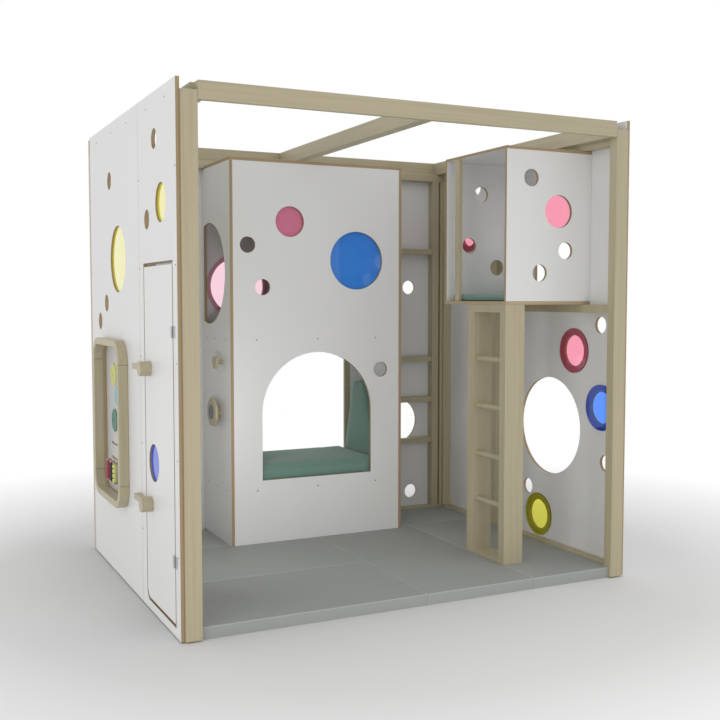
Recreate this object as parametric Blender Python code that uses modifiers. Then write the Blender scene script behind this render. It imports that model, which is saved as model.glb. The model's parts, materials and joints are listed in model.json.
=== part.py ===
"""Indoor playhouse: a timber post-and-beam frame with white panels, a cabin with a nook,
a raised loft with a ladder, round coloured windows, a door, a busy board and soft pads.

Metres, +Z up. Sizes are written from the front left corner of the left wall, X to the right,
Y to the back. The empty `playhouse` moves that corner, so the origin is the middle of the floor.
"""

import math

import bmesh
import bpy
from mathutils import Matrix, Vector

# Gaps
FIT = 0.0003            # between pieces that touch
TURN = 0.0003           # round a pin that turns

# Frame
WIDTH = 2.415           # over both side walls
SIDE_DEPTH = 1.800      # side walls, front to back
WALL_TOP = 2.400
WALL_LIFT = 0.006       # walls off the floor
PANEL = 0.018           # plywood panels
POST_W = 0.075
POST_D = 0.057
POST_DROP = 0.050       # post tops below the walls' tops
POST_PROUD = 0.013      # front posts before the side walls
TRIM_D = 0.042          # timber strip on each rear corner
BEAM_H = 0.081
BEAM_T = 0.030
BEAM_DROP = 0.090       # undersides of the beams below the walls' tops
SIDE_BEAM_T = 0.027
MIDDLE_BEAM_W = 0.065
RAIL_D = 0.057          # wall rails, off the wall
SILL_TOP = 0.066
TOP_RAIL_H = 0.032
BACK_RAIL_H = 0.048
STILE_W = 0.047
STILE_GAP = 0.013       # back stile to corner post

# Left wall
DOOR_FRONT = 0.070
DOOR_REAR = 0.575
DOOR_BOTTOM = 0.047
DOOR_TOP = 1.642
DOOR_SIDE_GAP = 0.010
DOOR_BOTTOM_GAP = 0.015
DOOR_TOP_GAP = 0.017
DOOR_CORNER = 0.050
WALL_SEAM = 0.654
SEAM_STUD_W = 0.040
REAR_STUD_W = 0.020     # right wall, before the rear post
RIGHT_STUD_FRONT = 1.110
RIGHT_STUD_W = 0.075
HEADER_H = 0.045

# Door hinges and latches
HINGE_OUT = 0.006       # pin axis outside the wall
HINGE_H = 0.051
HINGE_LEAF_W = 0.034
HINGE_LEAF_T = 0.002
KNUCKLE_R = 0.0045
HINGE_PIN_R = 0.002
HINGE_HEIGHTS = (0.338, 1.335)
DOOR_SWING_GAP = 0.005   # hinge axis to the door's edge
LATCH_HEIGHTS = (0.521, 1.155)
LATCH_Y = 0.470
LATCH_REACH = 0.700
LATCH_BAR_H = 0.028
LATCH_BAR_T = 0.030
LATCH_CAP_T = 0.024
BOLT_R = 0.004
BOLT_HEAD_R = 0.009
BOLT_HEAD_T = 0.004

# Round windows and holes: hole radius, and how far the acrylic disc laps the panel
PEEP_R = 0.046
WINDOW_R = 0.088
WINDOW_LAP = 0.038
BIG_WINDOW_R = 0.172
BIG_WINDOW_LAP = 0.028
ACRYLIC = 0.005
ROUND_OPENING_R = 0.283
SIDE_OPENING_R = 0.300
SIDE_OPENING_IN = 0.134     # its centre before the back wall
SIDE_OPENING_EDGE = 0.035   # its straight edge before the back wall

# Busy board
BOARD_FRONT = 0.920
BOARD_REAR = 1.555
BOARD_BOTTOM = 0.400
BOARD_TOP = 1.265
BOARD_PROUD = 0.050
BOARD_RIM = 0.035
BOARD_CORNER = 0.110
PLATE_T = 0.012
PLATE_LAP = 0.025
PIN_R = 0.004
SPINNER_R = 0.062
SPINNER_T = 0.006
SLOT_W = 0.014
SLOT_TRAVEL = 0.220
SLIDER_R = 0.016
SLIDER_T = 0.016
WASHER_LAP = 0.006
WASHER_T = 0.003
BEAD_R = 0.0125
BEAD_H = 0.0225
BEAD_NECK_R = 0.007
BEAD_NECK_H = 0.003
BEAD_COUNT = 4
BEAD_STAND = 0.0025     # beads off the plate
BEAD_AXLE_R = 0.004
BEAD_PLACE = (1.430, 0.486)
BRACKET_T = 0.009
BRACKET_W = 0.018

# Cabin
CABIN_W = 1.100
CABIN_DEPTH = 0.5237    # to the back wall
CABIN_DROP = 0.0337     # its roof below the top rails
CLIMB_W = 0.6267        # bay of climbing bars, cabin to right wall
ARCH_SIDE = 0.191       # arch from the cabin's left side
ARCH_W = 0.700
ARCH_SILL = 0.048       # above the seat board
ARCH_RISE = 0.390       # height of the arch's straight sides
SHELF_TOP = 1.251
SEAT_TOP = 0.376
BACK_OPENING_SIDE = 0.180   # from the cabin's left side
BACK_OPENING_W = 0.780
BACK_OPENING_DROP = 0.051   # its top below the shelf
BACK_OPENING_SILL = 0.044   # above the seat board
BACK_FRAME_W = 0.040
KNOB_R = 0.088
KNOB_HUB_R = 0.034
KNOB_T = 0.018
KNOB_STAND = 0.033
KNOB_AXLE_R = 0.010
KNOB_CAP_T = 0.003
KNOB_IN = 0.205         # behind the cabin's front
KNOB_Z = 0.815
PEG_IN = 0.152
PEG_Z = 1.112
PEG_R = 0.040
PEG_T = 0.022
PEG_STAND = 0.028
PEG_STEM_R = 0.014
BAR_H = 0.035
BAR_T = 0.035
BAR_HEIGHTS = (0.519, 0.797, 1.070, 1.792)
BAR_STAND = 0.014       # wall bars off the back wall

# Loft
LOFT_W = 0.5537
LOFT_FRONT = 0.280
LOFT_DEPTH = 0.620
LOFT_BOTTOM = 1.446
LOFT_DROP = 0.0327      # its roof below the top rails
LOFT_OPENING_MARGIN = 0.109  # round the side opening in the right wall
LOFT_ROOF_T = 0.016
BATTEN_W = 0.040
BATTEN_D = 0.025
BATTEN_BACK = 0.106     # before the loft's back
LEDGER_H = 0.043
LADDER_DEPTH = 0.120
LADDER_POST_FRONT_W = 0.053
LADDER_POST_REAR_W = 0.063
LADDER_W = 0.371
LADDER_RAIL_H = 0.041
RUNG_R = 0.0165
RUNG_HEIGHTS = (0.359, 0.617, 0.885, 1.147)
RUNG_IN = 0.035         # rung axis behind the ladder's left face

# Mats and cushions
MAT_T = 0.056
MAT_FRONT = 0.005
SEAT_CUSHION_H = 0.150
BACKREST_T = 0.150
BACKREST_TOP = 0.965
BACKREST_GAP = 0.007     # to the cabin's front and the back wall
LOFT_CUSHION_H = 0.042
LOFT_CUSHION_GAP = 0.022
SEAT_CUSHION_CROWN = 0.012   # rise of a cushion's middle over its edge
BACKREST_CROWN = 0.010
LOFT_CUSHION_CROWN = 0.006
CUSHION_EDGE = 0.035
CUSHION_CLEAR = 0.001
CUSHION_EDGE_SHARE = 0.45    # most that the edge rows take of half a side
CUSHION_EDGE_DROP = 0.6      # share of the crown by which the top's edges drop
CUSHION_PULL = 0.2           # share of the crown by which the sides draw in
CAGE_FACE = 0.99             # points of the cage past this lie on a face
ARCH_FROM = -1.0             # height on the backrest, from -1 to 1, where its arch starts
ARCH_DRAW = 0.93             # how far the arch draws in at the top
ARCH_POWER = 1.5

# Segments of round edges
PIN_ROUND = 16
ROD_ROUND = 20
SMALL_ROUND = 28
DISC_ROUND = 32
KNOB_ROUND = 36
LARGE_ROUND = 48
WELD = 0.00001          # points closer than this are one
CAP_REACH = 0.0001      # how near a rod's end face lies to its place
SHARP_EDGE = math.radians(35)


def up(low, high, share):
    """A height that keeps its share of the room between two others."""
    return low + share * (high - low)


# Places that follow from the sizes above
INNER_LEFT = PANEL + FIT
INNER_RIGHT = WIDTH - PANEL - FIT
POST_BACK = POST_D - POST_PROUD
WALL_BACK = SIDE_DEPTH + TRIM_D
BACK_PANEL_FRONT = WALL_BACK - PANEL
BACK_INNER = BACK_PANEL_FRONT - FIT
REAR_POST_FRONT = BACK_INNER - POST_D
POST_LEFT_IN = INNER_LEFT + POST_W
POST_RIGHT_IN = INNER_RIGHT - POST_W
POST_TOP = WALL_TOP - POST_DROP
BEAM_BOTTOM = WALL_TOP - BEAM_DROP
BEAM_TOP = BEAM_BOTTOM + BEAM_H
MIDDLE_BEAM_X = (WIDTH - MIDDLE_BEAM_W) / 2
RAIL_TOP = BEAM_BOTTOM - FIT
CABIN_RIGHT = INNER_RIGHT - CLIMB_W
CABIN_LEFT = CABIN_RIGHT - CABIN_W
CABIN_FRONT = BACK_INNER - CABIN_DEPTH
CABIN_TOP = RAIL_TOP - CABIN_DROP
CABIN_INNER_LEFT = CABIN_LEFT + PANEL + FIT
CABIN_INNER_RIGHT = CABIN_RIGHT - PANEL - FIT
CABIN_INNER_FRONT = CABIN_FRONT + PANEL + FIT
CABIN_WALL_TOP = CABIN_TOP - PANEL - FIT
MAT_TOP = MAT_T + FIT
ARCH_LEFT = CABIN_LEFT + ARCH_SIDE
ARCH_BOTTOM = SEAT_TOP + ARCH_SILL
BACK_OPENING_LEFT = CABIN_LEFT + BACK_OPENING_SIDE
BACK_OPENING_RIGHT = BACK_OPENING_LEFT + BACK_OPENING_W
BACK_OPENING_TOP = SHELF_TOP - BACK_OPENING_DROP
BACK_OPENING_BOTTOM = SEAT_TOP + BACK_OPENING_SILL
KNOB_Y = CABIN_FRONT + KNOB_IN
PEG_Y = CABIN_FRONT + PEG_IN
LATCH_KNOB_R = LATCH_BAR_H / 2 / math.sin(math.pi / 8)  # an octagon whose side is the bar's height
DOOR_EDGE_FRONT = DOOR_FRONT + DOOR_SIDE_GAP
DOOR_EDGE_REAR = DOOR_REAR - DOOR_SIDE_GAP
DOOR_EDGE_BOTTOM = DOOR_BOTTOM + DOOR_BOTTOM_GAP
DOOR_EDGE_TOP = DOOR_TOP - DOOR_TOP_GAP
HINGE_Y = DOOR_EDGE_FRONT - DOOR_SWING_GAP
PLATE_FACE = PANEL + FIT
LOFT_LEFT = INNER_RIGHT - LOFT_W
LOFT_BACK = LOFT_FRONT + LOFT_DEPTH
LOFT_TOP = RAIL_TOP - LOFT_DROP
LOFT_INNER_FRONT = LOFT_FRONT + PANEL + FIT
LOFT_INNER_BACK = LOFT_BACK - PANEL - FIT
LOFT_WALL_TOP = LOFT_TOP - LOFT_ROOF_T - FIT
LOFT_FLOOR_TOP = LOFT_BOTTOM + PANEL + FIT
LADDER_TOP = LOFT_BOTTOM - FIT
BATTEN_REAR = LOFT_BACK - BATTEN_BACK
LADDER_REAR = LOFT_FRONT + LADDER_W
LADDER_POST_REAR_FRONT = LADDER_REAR - LADDER_POST_REAR_W
LADDER_POST_FRONT_BACK = LOFT_FRONT + LADDER_POST_FRONT_W


# Window places: (first axis, height), hole radius, lap of the disc
YELLOW_LEFT_WALL = (((1.112, up(BOARD_TOP, WALL_TOP, 0.368)), BIG_WINDOW_R, BIG_WINDOW_LAP),
                    ((0.255, up(DOOR_TOP, WALL_TOP, 0.343)), WINDOW_R, WINDOW_LAP))
YELLOW_RIGHT_WALL = (((0.727, 0.196), WINDOW_R, WINDOW_LAP),)
BLUE_RIGHT_WALL = (((0.172, 0.886), WINDOW_R, WINDOW_LAP),)
PINK_RIGHT_WALL = (((0.411, 1.186), WINDOW_R, WINDOW_LAP),
                   ((SIDE_DEPTH - 0.280, up(LOFT_BOTTOM, WALL_TOP, 0.487)), WINDOW_R, WINDOW_LAP))
PINK_CABIN = (((CABIN_LEFT + 0.366, up(SHELF_TOP, CABIN_TOP, 0.656)), WINDOW_R, WINDOW_LAP),)
BLUE_CABIN = (((CABIN_LEFT + 0.795, up(SHELF_TOP, CABIN_TOP, 0.443)), BIG_WINDOW_R, BIG_WINDOW_LAP),)
PINK_BACK = (((CABIN_LEFT + 0.225, up(SHELF_TOP, CABIN_TOP, 0.298)), BIG_WINDOW_R, BIG_WINDOW_LAP),)
PINK_LOFT = (((LOFT_LEFT + 0.335, up(LOFT_BOTTOM, LOFT_TOP, 0.600)), WINDOW_R, WINDOW_LAP),)
DOOR_WINDOW = ((0.419, 0.720), WINDOW_R, WINDOW_LAP)
ROUND_OPENING = (0.633, 0.739)
SIDE_OPENING = (BACK_INNER - SIDE_OPENING_IN, up(SHELF_TOP, CABIN_TOP, 0.368))

# Peep holes: (first axis, height)
LEFT_FRONT_HOLES = ((0.358, up(DOOR_TOP, WALL_TOP, 0.727)), (0.501, up(DOOR_TOP, WALL_TOP, 0.265)))
LEFT_REAR_HOLES = ((1.296, up(BOARD_TOP, WALL_TOP, 0.738)), (1.399, up(BOARD_TOP, WALL_TOP, 0.167)),
                   (1.570, up(BOARD_TOP, WALL_TOP, 0.078)))
RIGHT_HOLES = ((0.188, 1.335), (0.132, 0.587), (0.840, 0.348),
               (SIDE_DEPTH - 0.366, up(LOFT_BOTTOM, WALL_TOP, 0.786)))
BACK_HOLES = ((INNER_RIGHT - 0.287, 1.554), (INNER_RIGHT - 0.267, 0.166), (CABIN_RIGHT + 0.123, 1.722))
BACK_LARGE_HOLE = (INNER_RIGHT - 0.377, 0.654)
BACK_LARGE_R = 0.150
CABIN_HOLES = ((CABIN_LEFT + 0.107, up(SHELF_TOP, CABIN_TOP, 0.521)),
               (CABIN_LEFT + 0.197, up(SHELF_TOP, CABIN_TOP, 0.286)),
               (CABIN_LEFT + 0.956, SHELF_TOP - 0.202))
LOFT_FRONT_HOLES = ((LOFT_LEFT + 0.156, up(LOFT_BOTTOM, LOFT_TOP, 0.807)),
                    (LOFT_LEFT + 0.383, up(LOFT_BOTTOM, LOFT_TOP, 0.349)),
                    (LOFT_LEFT + 0.215, up(LOFT_BOTTOM, LOFT_TOP, 0.203)))
LOFT_BACK_HOLES = ((LOFT_LEFT + 0.233, up(LOFT_BOTTOM, LOFT_TOP, 0.769)),
                   (LOFT_LEFT + 0.152, up(LOFT_BOTTOM, LOFT_TOP, 0.409)),
                   (LOFT_LEFT + 0.344, up(LOFT_BOTTOM, LOFT_TOP, 0.259)))

# Busy board pieces: (Y, Z) on the plate
SPINNERS = {"spinner_yellow": (1.331, 1.067), "spinner_cyan": (1.233, 0.957),
            "spinner_green": (1.316, 0.820)}
SLOTS = ((1.290, 0.691), (1.290, 0.611))

WOOD = ("pale_wood", (0.48, 0.42, 0.27), 0.55, 0.0)
PLY = ("plywood", (0.55, 0.46, 0.32), 0.55, 0.0)
WHITE = ("white_panel", (0.80, 0.80, 0.80), 0.35, 0.0)
METAL = ("grey_metal", (0.35, 0.36, 0.37), 0.35, 1.0)
PINK = ("pink_acrylic", (0.85, 0.12, 0.38), 0.15, 0.0)
BLUE = ("blue_acrylic", (0.05, 0.25, 0.75), 0.15, 0.0)
YELLOW = ("yellow_acrylic", (0.85, 0.75, 0.05), 0.15, 0.0)
FOAM = ("grey_mat", (0.23, 0.25, 0.23), 0.8, 0.0)
FABRIC = ("green_fabric", (0.11, 0.22, 0.18), 0.85, 0.0)
CYAN = ("cyan_plastic", (0.10, 0.55, 0.60), 0.4, 0.0)
GREEN = ("green_plastic", (0.10, 0.45, 0.15), 0.4, 0.0)
RED = ("red_plastic", (0.55, 0.03, 0.12), 0.4, 0.0)
LIME = ("lime_plastic", (0.50, 0.65, 0.05), 0.4, 0.0)

# A board's outline lies in this plane; its thickness runs along the third axis
SIDE = (math.pi / 2, 0, math.pi / 2)
FACE = (math.pi / 2, 0, 0)
FLAT = (0, 0, 0)
AXIS = {SIDE: 0, FACE: 1, FLAT: 2}


def clear_scene():
    for old in list(bpy.data.objects):
        bpy.data.objects.remove(old, do_unlink=True)


def new_collection(name):
    made = bpy.data.collections.new(name)
    bpy.context.scene.collection.children.link(made)
    return made


def material(look):
    name, colour, roughness, metallic = look
    made = bpy.data.materials.get(name)
    if made is None:
        made = bpy.data.materials.new(name)
        made.use_nodes = True
        shader = made.node_tree.nodes["Principled BSDF"]
        shader.inputs["Base Color"].default_value = (*colour, 1.0)
        shader.inputs["Roughness"].default_value = roughness
        shader.inputs["Metallic"].default_value = metallic
    return made


def add_empty(name, place, parent=None):
    made = bpy.data.objects.new(name, None)
    PARTS.objects.link(made)
    made.location = place
    made.parent = parent
    return made


def place_object(name, data, look, parent=None, pivot=(0, 0, 0)):
    """Link an object whose mesh is written in corner coordinates; pivot is its origin there."""
    made = bpy.data.objects.new(name, data)
    PARTS.objects.link(made)
    data.materials.append(material(look))
    made.parent = parent or ROOT
    if parent is None:
        made.location = pivot
    return made


def circle(middle, radius, count):
    steps = (2 * math.pi * i / count for i in range(count))
    return [(middle[0] + radius * math.cos(a), middle[1] + radius * math.sin(a)) for a in steps]


def corner(middle, radius, start, count=8):
    """A quarter turn of points about `middle`, from the angle `start`, counterclockwise."""
    steps = (start + math.pi / 2 * i / count for i in range(count + 1))
    return [(middle[0] + radius * math.cos(a), middle[1] + radius * math.sin(a)) for a in steps]


def rectangle(left, right, bottom, top):
    return [(left, bottom), (right, bottom), (right, top), (left, top)]


def rounded(left, right, bottom, top, radius):
    turn = math.pi / 2
    return (corner((right - radius, bottom + radius), radius, -turn)
            + corner((right - radius, top - radius), radius, 0)
            + corner((left + radius, top - radius), radius, turn)
            + corner((left + radius, bottom + radius), radius, 2 * turn))


def arch(left, width, bottom, rise, count=LARGE_ROUND // 2):
    """Straight sides of height `rise` under a half circle."""
    radius = width / 2
    middle = left + radius
    spring = bottom + rise
    steps = (math.pi * i / count for i in range(count + 1))
    curve = [(middle + radius * math.cos(a), spring + radius * math.sin(a)) for a in steps]
    return [(left, bottom), (left + width, bottom)] + curve


def hole(place):
    return circle(place, PEEP_R, SMALL_ROUND)


def window_holes(*groups):
    return [circle(place, radius, LARGE_ROUND) for group in groups for place, radius, lap in group]


def board(name, look, plane, near, far, outline, holes=(), parent=None, pivot=(0, 0, 0)):
    """A flat board between two places on its thickness axis, cut from an outline with holes."""
    axis = AXIS[plane]
    data = bpy.data.curves.new(name, "CURVE")
    data.dimensions = "2D"
    data.fill_mode = "BOTH"
    data.extrude = (far - near) / 2
    across = [i for i in range(3) if i != axis]
    shift = (pivot[across[0]], pivot[across[1]])
    for ring in (outline, *holes):
        spline = data.splines.new("POLY")
        spline.points.add(len(ring) - 1)
        for point, (u, v) in zip(spline.points, ring):
            point.co = (u - shift[0], v - shift[1], 0, 1)
        spline.use_cyclic_u = True
    made = place_object(name, data, look, parent)
    made.rotation_euler = plane
    offset = [0, 0, 0]
    offset[axis] = (near + far) / 2 - pivot[axis]
    made.location = offset
    return made


def add_box(bm, x, y, z):
    made = bmesh.ops.create_cube(bm, size=1)["verts"]
    bmesh.ops.scale(bm, vec=(x[1] - x[0], y[1] - y[0], z[1] - z[0]), verts=made)
    bmesh.ops.translate(bm, vec=(sum(x) / 2, sum(y) / 2, sum(z) / 2), verts=made)


def add_rod(bm, axis, middle, radius, near, far, count=SMALL_ROUND):
    """A cylinder along X, Y or Z (0, 1, 2); `middle` is its place on the two other axes."""
    turn = (Matrix.Rotation(math.pi / 2, 4, "Y"), Matrix.Rotation(-math.pi / 2, 4, "X"),
            Matrix.Identity(4))[axis]
    at = list(middle)
    at.insert(axis, (near + far) / 2)
    bmesh.ops.create_cone(bm, cap_ends=True, segments=count, radius1=radius, radius2=radius,
                          depth=far - near, matrix=Matrix.Translation(at) @ turn)


def solids(name, look, fill, parent=None, pivot=(0, 0, 0), round_edges=False):
    """An object whose solids are added to one mesh by `fill`, in corner coordinates."""
    bm = bmesh.new()
    fill(bm)
    bmesh.ops.translate(bm, vec=[-v for v in pivot], verts=bm.verts)
    data = bpy.data.meshes.new(name)
    bm.to_mesh(data)
    bm.free()
    if round_edges:
        data.shade_smooth()
        data.set_sharp_from_angle(angle=SHARP_EDGE)
    return place_object(name, data, look, parent)


def block(name, look, x, y, z):
    return solids(name, look, lambda bm: add_box(bm, x, y, z))


def add_turned(bm, axis, middle, start, steps, count=SMALL_ROUND):
    """A stepped rod along an axis: steps are (radius, far end), each going on from the last."""
    radius, end = steps[0]
    add_rod(bm, axis, middle, radius, min(start, end), max(start, end), count)
    bm.faces.ensure_lookup_table()
    at = list(middle)
    at.insert(axis, end)
    caps = [f for f in bm.faces if (f.calc_center_median() - Vector(at)).length < CAP_REACH]
    cap = caps[0]
    for radius_next, end_next in steps[1:]:
        ring = bmesh.ops.extrude_discrete_faces(bm, faces=[cap])["faces"][0]
        middle_point = Vector(at)
        for vert in ring.verts:
            vert.co = middle_point + (vert.co - middle_point) * (radius_next / radius)
        cap = bmesh.ops.extrude_discrete_faces(bm, faces=[ring])["faces"][0]
        for vert in cap.verts:
            vert.co[axis] = end_next
        at[axis] = end_next
        radius = radius_next


def as_mesh(curve):
    """The curve object as a mesh object of the same name, place and material, with its caps welded."""
    bpy.context.view_layer.update()
    graph = bpy.context.evaluated_depsgraph_get()
    data = bpy.data.meshes.new_from_object(curve.evaluated_get(graph))
    bm = bmesh.new()
    bm.from_mesh(data)
    bmesh.ops.remove_doubles(bm, verts=bm.verts, dist=WELD)
    bm.to_mesh(data)
    bm.free()
    name, parent, place = curve.name, curve.parent, curve.matrix_world.copy()
    bpy.data.objects.remove(curve, do_unlink=True)
    made = bpy.data.objects.new(name, data)
    PARTS.objects.link(made)
    made.parent = parent
    made.matrix_parent_inverse = parent.matrix_world.inverted()
    made.matrix_world = place
    return made


def combine(target, operation, fill, parent=None, pivot=(0, 0, 0)):
    """Join to an object, or cut from it, the shapes that `fill` adds in corner coordinates."""
    bm = bmesh.new()
    fill(bm)
    bmesh.ops.translate(bm, vec=[-v for v in pivot], verts=bm.verts)
    label = target.name + "_" + operation.lower()
    data = bpy.data.meshes.new(label)
    bm.to_mesh(data)
    bm.free()
    cutter = bpy.data.objects.new(label, data)
    CUTTERS.objects.link(cutter)
    cutter.parent = parent or ROOT
    cutter.hide_render = True
    cutter.display_type = "WIRE"
    cut = target.modifiers.new(label, "BOOLEAN")
    cut.operation = operation
    cut.solver = "EXACT"
    cut.use_self = True
    cut.object = cutter


def build_posts_and_beams():
    front = (-POST_PROUD, POST_BACK)
    left = (INNER_LEFT, POST_LEFT_IN)
    right = (POST_RIGHT_IN, INNER_RIGHT)
    block("post_front_left", WOOD, left, front, (0, POST_TOP))
    block("post_front_right", WOOD, right, front, (0, POST_TOP))
    strip = SIDE_DEPTH + FIT
    left_corner = [(POST_LEFT_IN, REAR_POST_FRONT), (POST_LEFT_IN, BACK_INNER), (INNER_LEFT, BACK_INNER),
                   (INNER_LEFT, WALL_BACK), (0, WALL_BACK), (0, strip), (INNER_LEFT, strip),
                   (INNER_LEFT, REAR_POST_FRONT)]
    right_corner = [(WIDTH - x, y) for x, y in left_corner]
    board("post_rear_left", WOOD, FLAT, 0, RAIL_TOP, left_corner)
    board("post_rear_right", WOOD, FLAT, 0, RAIL_TOP, right_corner)
    height = (BEAM_BOTTOM, BEAM_TOP)
    front_back = -POST_PROUD + BEAM_T
    rear_front = WALL_BACK - BEAM_T
    between = (front_back + FIT, rear_front - FIT)
    block("beam_front", WOOD, (POST_LEFT_IN + FIT, POST_RIGHT_IN - FIT), (-POST_PROUD, front_back), height)
    block("beam_rear", WOOD, (0, WIDTH), (rear_front, WALL_BACK), height)
    post_side = POST_LEFT_IN + FIT
    rail_side = INNER_LEFT + RAIL_D + FIT
    inner = post_side + SIDE_BEAM_T
    behind_post = POST_BACK + FIT
    left_beam = [(inner, between[0]), (inner, between[1]), (rail_side, between[1]), (rail_side, behind_post),
                 (post_side, behind_post), (post_side, between[0])]
    board("beam_left", WOOD, FLAT, *height, left_beam)
    board("beam_right", WOOD, FLAT, *height, [(WIDTH - x, y) for x, y in left_beam])
    block("beam_middle", WOOD, (MIDDLE_BEAM_X, MIDDLE_BEAM_X + MIDDLE_BEAM_W), between, height)


def build_left_wall():
    board_inner = rounded(BOARD_FRONT + BOARD_RIM, BOARD_REAR - BOARD_RIM, BOARD_BOTTOM + BOARD_RIM,
                          BOARD_TOP - BOARD_RIM, BOARD_CORNER - BOARD_RIM)
    doorway = ([(DOOR_FRONT, DOOR_BOTTOM)]
               + corner((DOOR_REAR - DOOR_CORNER, DOOR_BOTTOM + DOOR_CORNER), DOOR_CORNER, -math.pi / 2)
               + [(DOOR_REAR, DOOR_TOP), (DOOR_FRONT, DOOR_TOP)])
    peeps = [hole(place) for place in LEFT_FRONT_HOLES]
    board("left_front_panel", WHITE, SIDE, 0, PANEL, rectangle(0, WALL_SEAM - FIT, WALL_LIFT, WALL_TOP),
          [doorway, *peeps, *window_holes(YELLOW_LEFT_WALL[1:])])
    peeps = [hole(place) for place in LEFT_REAR_HOLES]
    board("left_rear_panel", WHITE, SIDE, 0, PANEL,
          rectangle(WALL_SEAM, SIDE_DEPTH, WALL_LIFT, WALL_TOP),
          [board_inner, *peeps, *window_holes(YELLOW_LEFT_WALL[:1])])

    front = POST_BACK + FIT
    rear = REAR_POST_FRONT - FIT
    rail_bottom = RAIL_TOP - TOP_RAIL_H
    stud = (WALL_SEAM - SEAM_STUD_W / 2, WALL_SEAM + SEAM_STUD_W / 2)
    header = (DOOR_TOP, DOOR_TOP + HEADER_H)
    outline = [(front, WALL_LIFT), (rear, WALL_LIFT), (rear, SILL_TOP), (stud[1], SILL_TOP),
               (stud[1], rail_bottom), (rear, rail_bottom), (rear, RAIL_TOP), (front, RAIL_TOP),
               (front, rail_bottom), (stud[0], rail_bottom), (stud[0], header[1]), (front, header[1]),
               (front, header[0]), (stud[0], header[0]), (stud[0], SILL_TOP), (front, SILL_TOP)]
    board("left_wall_frame", WOOD, SIDE, INNER_LEFT, INNER_LEFT + RAIL_D, outline)


def build_right_wall():
    peeps = [hole(place) for place in RIGHT_HOLES]
    margin = LOFT_OPENING_MARGIN
    loft_side = rectangle(LOFT_FRONT + margin, LOFT_BACK - margin, LOFT_FLOOR_TOP + margin,
                          LOFT_WALL_TOP - margin)
    board("right_wall_panel", WHITE, SIDE, WIDTH - PANEL, WIDTH,
          rectangle(0, SIDE_DEPTH, WALL_LIFT, WALL_TOP),
          [*peeps, circle(ROUND_OPENING, ROUND_OPENING_R, LARGE_ROUND), loft_side,
           *window_holes(YELLOW_RIGHT_WALL, BLUE_RIGHT_WALL, PINK_RIGHT_WALL)])

    front = POST_BACK + FIT
    rear = REAR_POST_FRONT - FIT
    rail_bottom = RAIL_TOP - TOP_RAIL_H
    ledger = (LADDER_TOP - LEDGER_H, LADDER_TOP)
    stud = (RIGHT_STUD_FRONT, RIGHT_STUD_FRONT + RIGHT_STUD_W)
    outline = [(front, WALL_LIFT), (rear, WALL_LIFT), (rear, RAIL_TOP), (front, RAIL_TOP),
               (front, rail_bottom), (stud[0], rail_bottom), (stud[0], ledger[1]), (front, ledger[1]),
               (front, ledger[0]), (stud[0], ledger[0]), (stud[0], SILL_TOP), (front, SILL_TOP)]
    rear_bay = rectangle(stud[1], rear - REAR_STUD_W, SILL_TOP, rail_bottom)
    board("right_wall_frame", WOOD, SIDE, INNER_RIGHT - RAIL_D, INNER_RIGHT, outline, [rear_bay])


def build_back_wall():
    frame_hole = (BACK_OPENING_LEFT - BACK_FRAME_W, BACK_OPENING_RIGHT + BACK_FRAME_W,
                  BACK_OPENING_BOTTOM - BACK_FRAME_W, BACK_OPENING_TOP + BACK_FRAME_W)
    peeps = [hole(place) for place in BACK_HOLES]
    board("back_wall_panel", WHITE, FACE, BACK_PANEL_FRONT, WALL_BACK,
          rectangle(INNER_LEFT, INNER_RIGHT, WALL_LIFT, RAIL_TOP),
          [rectangle(*frame_hole), *peeps, circle(BACK_LARGE_HOLE, BACK_LARGE_R, LARGE_ROUND),
           *window_holes(PINK_BACK)])
    left, right, bottom, top = frame_hole
    board("nook_back_frame", WOOD, FACE, BACK_PANEL_FRONT, WALL_BACK,
          rectangle(left + FIT, right - FIT, bottom + FIT, top - FIT),
          [rectangle(BACK_OPENING_LEFT, BACK_OPENING_RIGHT, BACK_OPENING_BOTTOM, BACK_OPENING_TOP)])
    y = (REAR_POST_FRONT, BACK_INNER)
    rail_bottom = RAIL_TOP - BACK_RAIL_H
    stile_right = POST_RIGHT_IN - STILE_GAP
    stile_left = stile_right - STILE_W

    x = (POST_LEFT_IN + FIT, POST_RIGHT_IN - FIT)
    sill_left = CABIN_RIGHT + FIT
    outline = [(sill_left, WALL_LIFT), (x[1], WALL_LIFT), (x[1], SILL_TOP), (stile_right, SILL_TOP),
               (stile_right, rail_bottom), (x[1], rail_bottom), (x[1], RAIL_TOP), (x[0], RAIL_TOP),
               (x[0], rail_bottom), (stile_left, rail_bottom), (stile_left, SILL_TOP),
               (sill_left, SILL_TOP)]
    frame = as_mesh(board("back_wall_frame", WOOD, FACE, *y, outline))

    def bars(bm):
        y_bar = (BACK_INNER - BAR_STAND - BAR_T, BACK_INNER - BAR_STAND)
        for z in BAR_HEIGHTS:
            add_box(bm, (CABIN_RIGHT + FIT, (stile_left + stile_right) / 2), y_bar,
                    (z - BAR_H / 2, z + BAR_H / 2))

    combine(frame, "UNION", bars)


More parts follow.
